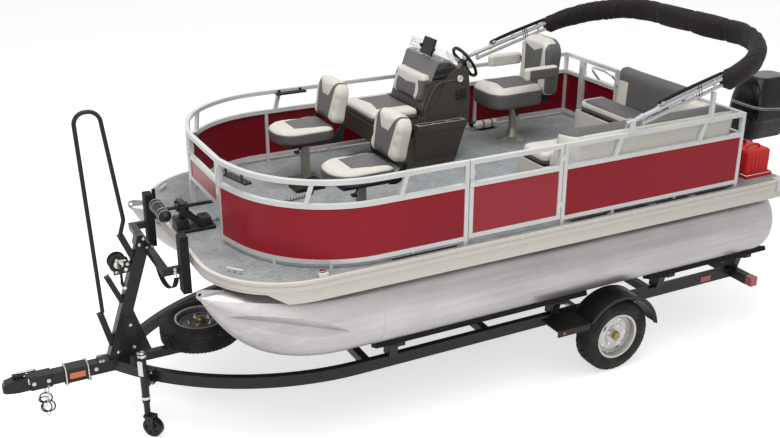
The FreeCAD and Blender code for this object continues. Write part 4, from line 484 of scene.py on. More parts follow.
def makePedalLead():
    # the coils wind about a smooth line from the pedal's gland to the bow motor's foot
    guide = strand("leadGuide", [(*point, pedalLead["z"]) for point in pedalLead["points"]], resolution_u=24)
    bpy.context.view_layer.update()
    seen = bpy.data.meshes.new_from_object(guide.evaluated_get(bpy.context.evaluated_depsgraph_get()))
    route = [point.co.copy() for point in seen.vertices]
    bpy.data.objects.remove(guide)
    reach = [0.0]
    for before, after in zip(route, route[1:]):
        reach.append(reach[-1] + (after - before).length)
    whole, bare = reach[-1], pedalLead["plain"] * 0.5
    points, along, turns, index = [], 0.0, 0.0, 0
    while along < whole:
        while reach[index + 1] < along:
            index += 1
        start, end = route[index], route[index + 1]
        centre = start.lerp(end, (along - reach[index]) / (reach[index + 1] - reach[index]))
        forward = (end - start).normalized()
        side = forward.cross(Vector((0, 0, 1))).normalized()
        near = min(along, whole - along)
        radius = pedalLead["coilRadius"] * min(1, max(0, near - bare) / bare)
        angle = 2 * math.pi * turns
        centre.z += pedalLead["rise"] * radius / pedalLead["coilRadius"]
        points.append(centre + side * (radius * math.cos(angle)) + side.cross(forward) * (radius * math.sin(angle)))
        along += pedalLead["pitch"] / pedalLead["turnPoints"] if near > bare else pedalLead["plainStep"]
        turns += 1 / pedalLead["turnPoints"] if near > bare else 0
    points.append(route[-1])
    lead = strand("pedalLead", points, bevel_depth=pedalLead["wire"], bevel_resolution=1, resolution_u=1)
    lead.data.materials.append(looks["shell"].material)
    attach(lead, "base")
    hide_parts("pedal_cord")
    length = sum((b - a).length for a, b in zip(points, points[1:]))
    print("pedal lead", round(length, 2), "m uncoiled")


makePedalLead()


def only(*pieces):
    bpy.ops.object.select_all(action="DESELECT")
    for piece in pieces:
        piece.select_set(True)
    bpy.context.view_layer.objects.active = pieces[-1]


def settle(piece):  # its place, turn and size go into the mesh
    only(piece)
    bpy.ops.object.transform_apply(location=True, rotation=True, scale=True)
    return piece


def applied(piece, kind, **settings):
    only(piece)
    modifier = piece.modifiers.new(kind.title(), kind)
    for key, value in settings.items():
        setattr(modifier, key, value)
    bpy.ops.object.modifier_apply(modifier=modifier.name)
    return piece


def pick(piece, faces=None, edges=None):  # ends in edit mode with the chosen faces or edges selected
    only(piece)
    bpy.ops.object.mode_set(mode="EDIT")
    bpy.ops.mesh.select_mode(type="FACE" if faces else "EDGE")
    bpy.ops.mesh.select_all(action="DESELECT")
    bpy.ops.object.mode_set(mode="OBJECT")
    mesh = piece.data
    for face in mesh.polygons if faces else ():
        face.select = faces(face)
    for edge in mesh.edges if edges else ():
        edge.select = edges(*[mesh.vertices[i].co for i in edge.vertices])
    bpy.ops.object.mode_set(mode="EDIT")


def done():
    bpy.ops.object.mode_set(mode="OBJECT")


def fresh(name, adder, **settings):  # a new primitive on its own
    bpy.ops.object.select_all(action="DESELECT")
    adder(**settings)
    bpy.context.object.name = name
    return bpy.context.object


def dress(piece, look, body, smooth=35):
    piece.data.materials.clear()
    piece.data.materials.append((looks[look] if isinstance(look, str) else look).material)
    settle(piece)
    bpy.ops.object.shade_smooth_by_angle(angle=math.radians(smooth))
    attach(piece, body)


def block(name, low, high, rounding=0.0, segments=2):
    centre = [(a + b) / 2 for a, b in zip(low, high)]
    piece = fresh(name, bpy.ops.mesh.primitive_cube_add, size=1, location=centre)
    piece.scale = [b - a for a, b in zip(low, high)]
    settle(piece)
    if rounding:
        applied(piece, "BEVEL", width=rounding, segments=segments, limit_method="ANGLE")
    return piece


def sidePlate(name, outline, y, thick, rounding=0.003):  # a flat plate from (x, z) corners, y is its inner face
    plate = fresh(name, bpy.ops.mesh.primitive_circle_add, vertices=len(outline), radius=1, fill_type="NGON")
    for point, (x, z) in zip(plate.data.vertices, outline):
        point.co = (x, y, z)
    bpy.ops.object.mode_set(mode="EDIT")
    bpy.ops.mesh.select_all(action="SELECT")
    bpy.ops.mesh.extrude_region_move(TRANSFORM_OT_translate={"value": (0, thick, 0)})
    bpy.ops.mesh.select_all(action="SELECT")
    bpy.ops.mesh.normals_make_consistent(inside=False)
    done()
    return applied(plate, "BEVEL", width=rounding, segments=3, limit_method="ANGLE")


def barrel(name, start, end, radius, farRadius=None, sides=24, rounding=0.0):
    start, end = Vector(start), Vector(end)
    piece = fresh(name, bpy.ops.mesh.primitive_cone_add, vertices=sides, radius1=radius,
                  radius2=radius if farRadius is None else farRadius, depth=(end - start).length,
                  location=(start + end) / 2, rotation=(end - start).to_track_quat("Z", "Y").to_euler())
    settle(piece)
    if rounding:
        applied(piece, "BEVEL", width=rounding, segments=2, limit_method="ANGLE")
    return piece


def ringPiece(name, centre, axis, radius, wire, sides=32):
    return settle(fresh(name, bpy.ops.mesh.primitive_torus_add, location=centre, major_radius=radius,
                        rotation=Vector(axis).to_track_quat("Z", "Y").to_euler(), minor_radius=wire,
                        major_segments=sides, minor_segments=8))


def together(name, pieces):
    only(*pieces)
    bpy.ops.object.join()
    piece = bpy.context.view_layer.objects.active
    piece.name = name
    return piece


def skinOf(node):  # a merged copy of a CAD node's mesh
    only(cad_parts[node])
    bpy.ops.object.duplicate()
    piece = bpy.context.object
    bpy.ops.object.mode_set(mode="EDIT")
    bpy.ops.mesh.select_all(action="SELECT")
    bpy.ops.mesh.remove_doubles(threshold=0.0002)
    done()
    return piece


def tubeRun(name, points, radius, closed=False, curved=True, detail=3):  # a round bar along points
    only(strand(name, points, curved, closed, bevel_depth=radius, bevel_resolution=detail, resolution_u=8,
                use_fill_caps=True))
    bpy.ops.object.convert(target="MESH")
    return bpy.context.object


def builtAt(place, rows):  # each row: a maker, a name, two corners or ends about the place, the maker's other numbers
    origin = Vector(place)
    return [make(name, origin + Vector(start), origin + Vector(end), *more) for make, name, start, end, *more in rows]


def padForm(name, length, width, thick, frontRound, rearRound, edge, rearShare):
    # a pad that lies flat: length along X from its rear, width along Y, thickness up
    pad = block(name, (0, -width / 2, 0), (length, width / 2, thick))
    for point in pad.data.vertices:
        if point.co.x < length / 2:
            point.co.y *= rearShare
    for ends, rounding in ((lambda x: x > length / 2, frontRound), (lambda x: x < length / 2, rearRound)):
        pick(pad, edges=lambda a, b: abs(a.z - b.z) > thick / 2 and (a - b).xy.length < 0.001 and ends(a.x)
             and abs(abs(a.y) - width / 2) < width * (1 - rearShare) / 2 + 0.002)
        bpy.ops.mesh.bevel(offset=rounding, segments=7, affect="EDGES")
        done()
    pick(pad, edges=lambda a, b: min(a.z, b.z) > thick - 0.001)
    bpy.ops.mesh.bevel(offset=edge, segments=4, affect="EDGES")
    done()
    pick(pad, edges=lambda a, b: max(a.z, b.z) < 0.001)
    bpy.ops.mesh.bevel(offset=edge * 0.6, segments=3, affect="EDGES")
    done()
    return pad


def swell(pad, voxel=0.010, most=0.024, pressure=4.0, flatBelow=None):
    # air pressure in a cloth skin, capped, so that the pad crowns and its sides draw in
    pad.data.remesh_voxel_size = voxel
    only(pad)
    bpy.ops.object.voxel_remesh()
    before = [point.co.copy() for point in pad.data.vertices]
    cloth = pad.modifiers.new("Cloth", "CLOTH")
    cloth.settings.use_pressure = True
    cloth.settings.uniform_pressure_force = pressure
    cloth.settings.effector_weights.gravity = 0
    cloth.settings.quality = 4
    for frameNumber in range(1, 21):
        scene.frame_set(frameNumber)
    only(pad)
    bpy.ops.object.modifier_apply(modifier=cloth.name)
    scene.frame_set(1)
    for point, start in zip(pad.data.vertices, before):
        step = point.co - start
        if step.length > most:
            step *= most / step.length
        point.co = start + step
        if flatBelow is not None and start.z < flatBelow:
            point.co.z = max(point.co.z, start.z)
    applied(pad, "SMOOTH", factor=0.5, iterations=7)
    applied(pad, "SUBSURF", levels=1, render_levels=1)


def laid(pad, place):
    pad.location = place
    settle(pad)


def stood(pad, foot, lean):  # a lying pad stands up, its top face turned forward, leaning aft
    pad.matrix_world = (Matrix.Translation(foot) @ Matrix.Rotation(-lean, 4, "Y")
                        @ Matrix.Rotation(math.pi / 2, 4, "Y") @ Matrix.Rotation(math.pi, 4, "Z"))
    settle(pad)


def twoTone(name, zone, folds=None):
    # two vinyls with a sewn groove where they meet; the zone is positive over the dark one
    look = vinyl(name, lightVinyl)
    x, y, z = look.axes()
    reach = zone(x, y, z)
    other = look.mix(look.cloud, shade(darkVinyl, 0.90), shade(darkVinyl, 1.10))
    groove = 1 - abs(reach).step(0.0, 0.006)
    height = look.grain.step(0, 0.25) * 0.10 - groove
    if folds:
        height = height - folds(x, y, z)
    look.set(**{"Base Color": look.mix(groove * 0.5, look.mix(reach.step(-0.0012, 0.0012), look.base, other),
                                       shade(darkVinyl, 0.55)),
                "Normal": look.bump(height, 0.004, 0.55)})
    return look


def padSet(length, width, thick, rounds, edge, rearShare=1.0):  # the numbers that padForm takes, by name
    return {"length": length, "width": width, "thick": thick, "frontRound": rounds[0], "rearRound": rounds[1],
            "rearShare": rearShare, "edge": edge}


chairs = {"x": 1.055, "port": 0.464, "starboard": -0.588, "low": 1.745, "rear": 0.215, "backLean": 12.0,
          "backShift": 0.074, "hinge": (0.820, 1.866), "cheek": 0.224, "keep": 0.45, "fill": 0.8,
          "seat": padSet(0.515, 0.46, 0.100, (0.20, 0.07), 0.024, 0.86),
          "back": padSet(0.352, 0.445, 0.096, (0.11, 0.05), 0.026, 0.95),
          "work": ((block, "swivel", (-0.09, -0.09, -0.044), (0.09, 0.09, -0.028), 0.004),
                   (barrel, "bearing", (0, 0, -0.060), (0, 0, -0.042), 0.055, 0.060, 32, 0.003),
                   (block, "knob", (0.135, 0.19, -0.055), (0.175, 0.235, -0.036), 0.007)),
          "lever": ((0.02, 0.05, -0.038), (0.10, 0.15, -0.040), (0.15, 0.205, -0.044))}


def makeFishingChair(side):
    x, y, low = chairs["x"], chairs[side], chairs["low"]
    rear = x - chairs["rear"]
    front = rear + chairs["seat"]["length"]

    def seatZone(px, py, pz):
        across = abs(py - y)
        panel = (0.165 - (px - rear) * 0.16 - across).low(rear + 0.340 - px).low(rear + 0.49 - px - across)
        return panel.high(low + 0.081 - pz)

    seat = padForm(f"seatPad{side.title()}", **chairs["seat"])
    swell(seat, flatBelow=0.02, most=0.016)
    laid(seat, (rear, y, low))
    dress(seat, twoTone(f"seatVinyl{side.title()}", seatZone), f"{side}_chair", 60)
    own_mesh(seat)

    # moulded shell under the pad, drawn in towards the post
    shell = block("shell", (rear - 0.005, y - 0.200, low - 0.028), (front - 0.05, y + 0.200, low + 0.006))
    for point in shell.data.vertices:
        if point.co.z < low:
            point.co.x = x + (point.co.x - x) * 0.86
            point.co.y = y + (point.co.y - y) * 0.84
    applied(shell, "BEVEL", width=0.02, segments=3, limit_method="ANGLE")
    work = [shell] + builtAt((x, y, low), chairs["work"])
    work.append(tubeRun("lever", [(x + dx, y + dy, low + dz) for dx, dy, dz in chairs["lever"]], 0.006))
    hingeX, hingeZ = chairs["hinge"]
    for hand in (-1, 1):
        inner = y + hand * chairs["cheek"]
        work += builtAt((hingeX, inner, hingeZ), (
            (barrel, "cheek", (0, 0, 0), (0, hand * 0.010, 0), 0.022, None, 28, 0.002),
            (barrel, "bolt", (0, 0, 0), (0, hand * 0.016, 0), 0.009, None, 6, 0.001)))
        arm = [(hingeX + 0.020, hingeZ), (hingeX - 0.018, hingeZ), (hingeX - 0.004, low + 0.012),
               (hingeX + 0.070, low - 0.012), (hingeX + 0.130, low - 0.004)]
        work.append(sidePlate("arm", arm, inner + min(0, hand * 0.008), 0.008, 0.002))
    work = together(f"seatFrame{side.title()}", work)
    dress(work, "shell", f"{side}_chair")
    for piece in (seat, work):
        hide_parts(f"chair_{side}_seat")

    # the back lies face up while it is sewn, then stands on its hinge
    lean = math.radians(chairs["backLean"])

    def backZone(px, py, pz):
        across, up = abs(py - y), (pz - hingeZ) / math.cos(lean)
        panel = (0.100 + up * 0.16 - across).low(0.215 + (across - 0.055).high(0) * 1.5 - up).low(up + 0.03)
        return panel.high(hingeX - 0.066 - (pz - hingeZ) * math.tan(lean) - px)

    back = padForm(f"backPad{side.title()}", **chairs["back"])
    swell(back, flatBelow=0.015, most=0.016)
    stood(back, (hingeX - 0.098 + chairs["backShift"], y, hingeZ - 0.016), lean)
    dress(back, twoTone(f"backVinyl{side.title()}", backZone), f"{side}_chair_back", 60)
    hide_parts(f"chair_{side}_back")


for chairSide in ("port", "starboard"):
    makeFishingChair(chairSide)
print("fishing chairs ready")

captain = {"x": -1.025, "y": -0.70, "low": 1.745, "rear": 0.205, "lean": 4, "foot": (-0.325, 0.045),
           "armX": -0.245, "armY": 0.286, "armLow": 2.011, "pleats": (0.235, 0.305), "voxel": 0.0125,
           "seat": padSet(0.565, 0.52, 0.165, (0.17, 0.08), 0.040, 0.90),
           "back": padSet(0.530, 0.47, 0.130, (0.15, 0.06), 0.035, 0.96),
           "arm": padSet(0.335, 0.074, 0.104, (0.034, 0.026), 0.024),
           "work": ((block, "carrier", (-0.300, -0.15, -0.002), (-0.180, 0.15, 0.10), 0.02, 3),
                    (block, "plate", (-0.10, -0.10, -0.028), (0.10, 0.10, 0.004), 0.006),
                    (block, "slide", (-0.17, -0.075, -0.012), (0.20, 0.075, 0.004), 0.003),
                    (barrel, "grip", (0.085, 0.18, -0.033), (0.122, 0.258, -0.052), 0.011, 0.009, 12, 0.003),
                    (barrel, "stub", (-0.245, -0.225, 0.325), (-0.245, -0.262, 0.325), 0.014, None, 20),
                    (barrel, "stub", (-0.245, 0.225, 0.325), (-0.245, 0.262, 0.325), 0.014, None, 20)),
           "lever": ((0.05, 0.07, -0.02), (0.09, 0.20, -0.035), (0.12, 0.255, -0.05))}


def makeCaptainChair():
    x, y, low = captain["x"], captain["y"], captain["low"]
    rear = x - captain["rear"]

    def seatZone(px, py, pz):
        across, ahead = abs(py - y), px - rear
        panel = (0.150 + ahead * 0.05 - across).low(0.385 - ahead + across * 0.25)
        return panel.high(low + 0.136 - pz)

    seat = padForm("captainSeatPad", **captain["seat"])
    swell(seat, voxel=captain["voxel"], flatBelow=0.02, most=0.020)
    laid(seat, (rear, y, low + 0.002))
    dress(seat, twoTone("captainSeatVinyl", seatZone), "captain_chair", 60)

    lean = math.radians(captain["lean"])
    foot = (x + captain["foot"][0], y, low + captain["foot"][1])

    def backZone(px, py, pz):
        across, up = abs(py - y), pz - foot[2]
        centre = (0.105 + up * 0.05 - across).low(0.400 - up + across * 0.35)
        flank = (across - 0.185 + (up - 0.30) * 0.06).low(0.50 - up)
        rearSkin = (foot[0] + 0.050) - up * math.tan(lean) - px
        return centre.high(flank).high(rearSkin.low(0.53 - up))

    def pleats(px, py, pz):
        up = pz - foot[2]
        first, second = [1 - abs(up - level - abs(py - y) * 0.10).step(0.0, 0.009) for level in captain["pleats"]]
        return (first + second) * (0.098 - abs(py - y)).step(0, 0.006)

    back = padForm("captainBackPad", **captain["back"])
    # bolsters stand forward of the middle along both edges, and the top rolls over
    for point in back.data.vertices:
        if point.co.z > 0.05:
            side = abs(point.co.y) / 0.235
            point.co.z += 0.022 * side ** 2 - 0.018 * (1 - side) + 0.012 * (point.co.x > 0.43)
    swell(back, voxel=captain["voxel"], flatBelow=0.015, most=0.018)
    stood(back, foot, lean)
    dress(back, twoTone("captainBackVinyl", backZone, pleats), "captain_chair", 60)

    # moulded back carrier, seat plate, slide and its lever, and the stubs that hold the arms
    lever = tubeRun("lever", [(x + dx, y + dy, low + dz) for dx, dy, dz in captain["lever"]], 0.006)
    work = together("captainFrame", [lever] + builtAt((x, y, low), captain["work"]))
    dress(work, "shell", "captain_chair")
    for piece in (seat, back, work):
        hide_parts("captain_seat")

    def darkEnd(px, py, pz):
        return (x + 0.052 - px).low(2.098 - pz).low(pz - 1.9)

    def plain(px, py, pz):
        return 0.0 * px - 1

    for hand, word, zone in ((1, "Port", darkEnd), (-1, "Starboard", plain)):
        arm = padForm(f"captainArm{word}", **captain["arm"])
        arm.data.remesh_voxel_size = 0.006
        only(arm)
        bpy.ops.object.voxel_remesh()
        applied(arm, "SUBSURF", levels=1, render_levels=1)
        laid(arm, (x + captain["armX"], y + hand * captain["armY"], captain["armLow"]))
        dress(arm, twoTone(f"armVinyl{word}", zone), "captain_arms", 60)
        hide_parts("captain_armrests")


makeCaptainChair()

bench = {"y": -0.72, "low": 1.8105, "rear": 0.090, "pin": (0.097, 1.886), "backLean": 13, "backFoot": (0.004, 1.910),
         "seat": padSet(0.440, 0.612, 0.080, (0.075, 0.035), 0.024),
         "back": padSet(0.245, 0.50, 0.074, (0.06, 0.04), 0.024)}


def makeBench():
    y, low, rear = bench["y"], bench["low"], bench["rear"]

    def seatZone(px, py, pz):
        across, ahead = abs(py - y), px - rear
        return (0.185 - across).low(0.30 - ahead + across * 0.2).high(low + 0.042 - pz)

    pad = padForm("benchPad", **bench["seat"])
    swell(pad, voxel=0.012, most=0.014, flatBelow=0.02)
    laid(pad, (rear, y, low + 0.001))
    dress(pad, twoTone("benchVinyl", seatZone), "console_lid", 60)
    board = block("benchBoard", (rear + 0.004, y - 0.296, low), (rear + 0.43, y + 0.296, low + 0.012), 0.004)
    pinX, pinZ = bench["pin"]
    pin = barrel("pin", (pinX, y - 0.28, pinZ), (pinX, y + 0.28, pinZ), 0.004, sides=12)
    board = together("benchBoard", [board, pin])
    dress(board, "shell", "console_lid")
    for piece in (pad, board):
        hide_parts("bench_lid")

    lean = math.radians(bench["backLean"])
    footX, footZ = bench["backFoot"]

    def backZone(px, py, pz):
        across, up = abs(py - y), (pz - footZ) / math.cos(lean)
        # light S bolsters: wide at the top, sweeping out and then in
        bolster = 0.150 + 0.030 * ((up - 0.02) * 18).wave()
        centre = (bolster - 0.014 - across).low(0.150 - up + across * 0.12)
        flank = (across - bolster - 0.034).low(0.200 - up)
        return centre.high(flank)

    back = padForm("consoleBackPad", **bench["back"])
    swell(back, most=0.010, flatBelow=0.012)
    stood(back, (footX, y, footZ), lean)
    dress(back, twoTone("consoleBackVinyl", backZone), "base", 60)
    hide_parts("console_backrest")


makeBench()

lounge = {"fore": -0.290, "aft": -1.895, "low": 1.705, "side": 1.118, "backInner": 0.822, "top": 2.027,
          "podSide": (-0.20, 0.880), "podFore": -1.757, "podTop": 2.093, "podRamp": (0.62, 0.70), "shoulder": 2.010,
          "padFoot": 1.72, "welt": ((-1.41, 0.487), (-0.33, 0.487), (-0.296, 0.53), (-0.296, 0.79)),
          "seat": padSet(1.140, 0.328, 0.092, (0.06, 0.035), 0.026),
          "stern": padSet(0.270, 1.136, 0.092, (0.05, 0.035), 0.026)}


def makeLounge():
    low, fore, aft = lounge["low"], lounge["fore"], lounge["aft"]

    def seatZone(px, py, pz):
        return low + 0.040 - pz

    def sternZone(px, py, pz):
        inner = (0.115 - abs(px + 1.60)).low(0.50 - abs(py - 0.24))
        return inner.high(low + 0.040 - pz)

    def rollZone(px, py, pz):
        return (pz - 2.000 - (py - 0.97) * 0.10).low(1.10 - py).low(fore - 0.02 - px)

    def podZone(px, py, pz):
        cheek = 0.265 - abs(py - 0.235)
        return (pz - 1.985).low(0.66 - py).high(cheek.low(1.99 - pz).low(px + 1.80))

    for name, form, place, most, zone, body, node in (
            ("loungeSeat", "seat", (-1.433, 0.646), 0.013, seatZone, "storage_lid", "lounge_lid"),
            ("sternSeat", "stern", (-1.737, 0.241), 0.010, sternZone, "well_lid", "livewell_lid")):
        pad = padForm(f"{name}Pad", **lounge[form])
        swell(pad, voxel=0.013, most=most, flatBelow=0.02)
        laid(pad, (*place, low + 0.001))
        dress(pad, twoTone(f"{name}Vinyl", zone), body, 60)
        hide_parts(node)

    # port back: deeper at its foot, rounded over the top and round its fore end
    back = block("loungeBackPad", (aft, lounge["backInner"], low), (fore, lounge["side"], lounge["top"]))
    for point in back.data.vertices:
        if point.co.z > 1.9 and point.co.y < 1.0:
            point.co.y += 0.070
        if point.co.z > 1.9 and point.co.x > -0.5:
            point.co.x -= 0.045
    applied(back, "BEVEL", width=0.055, segments=5, limit_method="ANGLE")
    swell(back, voxel=0.015, most=0.012, flatBelow=lounge["padFoot"])
    dress(back, twoTone("loungeBackVinyl", rollZone), "base", 60)

    # stern pod: it steps down to the port back across a short ramp
    pod = block("sternPodPad", (aft + 0.004, lounge["podSide"][0], low),
                (lounge["podFore"], lounge["podSide"][1], lounge["podTop"]))
    for point in pod.data.vertices:
        if point.co.z > 1.9 and point.co.x > -1.8:
            point.co.x -= 0.020
    pick(pod, faces=lambda face: True)
    for cut in lounge["podRamp"]:
        bpy.ops.mesh.select_all(action="SELECT")
        bpy.ops.mesh.bisect(plane_co=(0, cut, 0), plane_no=(0, 1, 0))
    done()
    for point in pod.data.vertices:
        if point.co.y > 0.66 and point.co.z > 1.9:
            point.co.z = lounge["shoulder"]
    applied(pod, "BEVEL", width=0.060, segments=5, limit_method="ANGLE", offset_type="WIDTH")
    swell(pod, voxel=0.013, most=0.008, flatBelow=lounge["padFoot"])
    dress(pod, twoTone("sternPodVinyl", podZone), "base", 60)
    for piece in (back, pod):
        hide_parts("lounge_backrest")
    welt = tubeRun("loungeWelt0", [(x, y, low + 0.045) for x, y in lounge["welt"]], 0.0042, detail=2)
    dress(welt, "dark", "storage_lid", 60)


makeLounge()
print("seats ready")

helm = {"y": -0.72, "cheek": -0.4222, "gauge": (-0.290, 2.106), "gaugeRadius": 0.0265,
        "switches": ((-0.252, 2.020), (-0.350, 2.026), (-0.354, 1.934), (-0.256, 1.928)),
        "dash": ((-0.030, 2.112), (-0.092, 2.246), (-0.196, 2.248), (-0.282, 2.190), (-0.300, 2.112)),
        "dashY": -0.4412, "rocker": (-0.279, 2.000), "rockerStep": (-0.044, -0.026), "key": (-0.262, 1.946),
        "pockets": (-0.300, -0.152, -0.004), "pocketLength": 0.132, "pocketY": (-0.405, -0.351), "trayTop": 1.767,
        "trayEdge": ((-0.312, -0.430), (-0.312, -0.349), (0.140, -0.349), (0.140, -0.430)),
        "needle": ((barrel, "needle", (0, 0.0016, 0), (-0.012, 0.0016, 0.011), 0.0012, 0.0004, 8),
                   (barrel, "hub", (0, 0, 0), (0, 0.0028, 0), 0.0035, None, 16, 0.0005)),
        "sideLine": ((-0.352, 2.090), (-0.20, 2.100), (-0.075, 2.088), (-0.028, 2.020), (0.018, 1.930),
                     (0.046, 1.868), (0.030, 1.800), (0.045, 1.745))}
display = {"y": -0.62, "glass": (-0.1062, 2.3585), "lean": -21, "knob": (-0.086, 2.352), "knobY": (0.092, 0.112),
           "yokeX": (-0.095, -0.077), "yokeY": (0.090, 0.094), "rib": (-0.0872, 2.3395), "ribStep": (-0.0105, 0.0240)}


def makeHelmStation():
    cheek = helm["cheek"]
    dash = sidePlate("dashPanel", helm["dash"], helm["dashY"], 0.006, 0.004)
    dress(dash, gloss("dashGloss", rgb(22, 22, 23), 0.08), "base")

    # gauge: chromed bezel, white dial with ticks and a needle
    gx, gz = helm["gauge"]
    face = cheek + 0.009
    bezel = ringPiece("gaugeBezel", (gx, face, gz), (0, 1, 0), helm["gaugeRadius"], 0.0034, 40)
    dress(bezel, "chrome", "base", 60)
    dial = barrel("gaugeDial", (gx, face - 0.003, gz), (gx, face + 0.0008, gz), helm["gaugeRadius"], sides=40,
                  rounding=0.0006)
    dress(dial, "white", "base")
    marks = []
    for index in range(9):
        angle = math.radians(225 - index * 33.75)
        mark = block("mark", (-0.0025, -0.0006, -0.0005), (0.0025, 0.0006, 0.0005))
        mark.rotation_euler = (0, -angle, 0)
        mark.location = (gx + 0.019 * math.cos(angle), face + 0.0011, gz + 0.019 * math.sin(angle))
        marks.append(settle(mark))
    marks += builtAt((gx, face, gz), helm["needle"])
    dress(together("gaugeMarks", marks), "shell", "base")

    # switch panel: two columns of rockers in a framed plate
    switches = [sidePlate("switchPlate", helm["switches"], cheek + 0.0075, 0.003, 0.002)]
    keyX, keyZ = helm["key"]
    switches.append(barrel("key", (keyX, cheek + 0.010, keyZ), (keyX, cheek + 0.019, keyZ), 0.009, 0.008, 20, 0.001))
    for column in range(2):
        for row in range(3):
            cx = helm["rocker"][0] + column * helm["rockerStep"][0]
            cz = helm["rocker"][1] + row * helm["rockerStep"][1] + column * 0.003
            for word, dx, dz, low, high, rounding in (("rim", 0.017, 0.009, 0.009, 0.0125, 0.0015),
                                                      ("rocker", 0.013, 0.006, 0.012, 0.0165, 0.0018)):
                corners = (cx - dx, cheek + low, cz - dz), (cx + dx, cheek + high, cz + dz)
                switches.append(block(word, *corners, rounding))
    panel = together("switchPanel", switches)
    dress(panel, gloss("switchBlack", rgb(28, 27, 27), 0.2), "base")

    # cup tray rims
    rims = []
    low, high = helm["pocketY"]
    for px in helm["pockets"]:
        far = px + helm["pocketLength"]
        corners = [(px, low), (far, low), (far, high), (px, high)]
        points = []
        for index, (cx, cy) in enumerate(corners):
            for other in (corners[index - 1], corners[(index + 1) % 4]):
                step = (Vector(other) - Vector((cx, cy))).normalized() * 0.012
                points.append((cx + step.x, cy + step.y, helm["trayTop"] + 0.001))
        rims.append(tubeRun("rim", points, 0.0034, closed=True, detail=2))
    rims.append(tubeRun("edge", [(x, y, helm["trayTop"] - 0.001) for x, y in helm["trayEdge"]], 0.0040, curved=False,
                        detail=2))
    rims = together("cupRims", rims)
    dress(rims, mouldedPlastic("trayRim", rgb(150, 147, 142), 0.4), "base", 60)

    # raised side line from the tower's head down to the bench, in a lighter grey than the tower: a painted highlight
    # along the raised edge
    line = tubeRun("sideLine", [(x, cheek + 0.001, z) for x, z in helm["sideLine"]], 0.0055, detail=2)
    dress(line, mouldedPlastic("towerLineHighlight", rgb(86, 81, 76), 0.42), "base", 60)


def makeDisplay():
    # screen on the stalk: glass face aft, ribbed back, two clamp knobs and their yoke
    y, lean = display["y"], math.radians(display["lean"])
    glass = block("displayGlass", (-0.001, -0.078, -0.052), (0.001, 0.078, 0.052), 0.0008)
    glass.rotation_euler = (0, lean, 0)
    glass.location = (display["glass"][0], y, display["glass"][1])
    dress(glass, gloss("displayGlass", rgb(12, 14, 18), 0.04), "base")
    mount = []
    (knobX, knobZ), (aft, fore) = display["knob"], display["yokeX"]
    for hand in (-1, 1):
        near, far = [y + hand * reach for reach in display["knobY"]]
        mount.append(barrel("knob", (knobX, near, knobZ), (knobX, far, knobZ), 0.017, 0.015, 12, 0.002))
        near, far = sorted(y + hand * reach for reach in display["yokeY"])
        mount.append(block("yoke", (aft, near, 2.318), (fore, far, 2.364), 0.001))
    mount.append(block("yokeBase", (aft, y - 0.094, 2.3165), (fore, y + 0.094, 2.3215), 0.001))
    for index in range(4):
        rib = block("rib", (-0.0015, -0.070, -0.003), (0.0015, 0.070, 0.003), 0.001)
        rib.rotation_euler = (0, lean, 0)
        rib.location = (display["rib"][0] + display["ribStep"][0] * index, y,
                        display["rib"][1] + display["ribStep"][1] * index)
        mount.append(settle(rib))
    dress(together("displayMount", mount), "shell", "base")


apron = {"low": (-0.318, -0.4405, 1.400), "high": (0.146, -0.345, 1.7065), "footY": -0.418, "rake": 0.05,
         "rounding": 0.014}


def makeTrayApron():
    # moulded apron that carries the cup tray, drawn in at its foot
    piece = block("trayApron", apron["low"], apron["high"])
    for point in piece.data.vertices:
        if point.co.z < 1.5 and point.co.y > -0.40:
            point.co.y = apron["footY"]
        if point.co.z < 1.5 and point.co.x < -0.2:
            point.co.x += apron["rake"]
    applied(piece, "BEVEL", width=apron["rounding"], segments=4, limit_method="ANGLE")
    dress(piece, "console", "base")


grip = {"wire": 0.0135, "inset": 0.0115, "bead": 0.0145, "beadWire": 0.0022}


def makeHelmGrip():
    # a thicker moulded grip over the wheel's rim, and four beads round it
    low, high = (Vector(corner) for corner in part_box("helm_wheel"))
    centre, size = (low + high) / 2, high - low
    lean = math.acos(min(1, size.z / size.y))
    radius = size.y / 2 - grip["inset"]
    face, across = Vector((-math.cos(lean), 0, math.sin(lean))), Vector((0, 1, 0))
    up = across.cross(face)
    rings = [ringPiece("helmGrip", centre, face, radius, grip["wire"], 64)]
    for index in range(4):
        turn = math.radians(45 + 90 * index)
        spot = centre + (across * math.cos(turn) + up * math.sin(turn)) * radius
        rings.append(ringPiece("bead", spot, across * -math.sin(turn) + up * math.cos(turn), grip["bead"],
                               grip["beadWire"], 16))
    dress(together("helmGrip", rings), "shell", "helm", 60)


makeHelmStation()
makeDisplay()
makeTrayApron()
makeHelmGrip()
print("console ready")

top = {"pivot": (-0.800, 2.080), "y": 1.153, "slope": 15, "corner": 0.700, "start": 0.880,
       "pinches": (0.0, 0.42, 0.80), "fold": 0.0070, "broad": 0.006, "pinch": 0.006, "sink": 0.003,
       "sag": 0.048, "slack": 0.022, "mouth": 0.055, "tied": 0.58,
       "clamps": ((0.110, 0), (0.262, 0), (0.520, 0), (0.800, 0), (0.110, -0.052), (0.300, 0.034)),
       "bands": (0.640, 0.665)}


def topSpot(along, across, lift=0.0):
    slope = math.radians(top["slope"])
    return Vector((top["pivot"][0] - along * math.cos(slope) + lift * math.sin(slope), across,
                   top["pivot"][1] + along * math.sin(slope) + lift * math.cos(slope)))


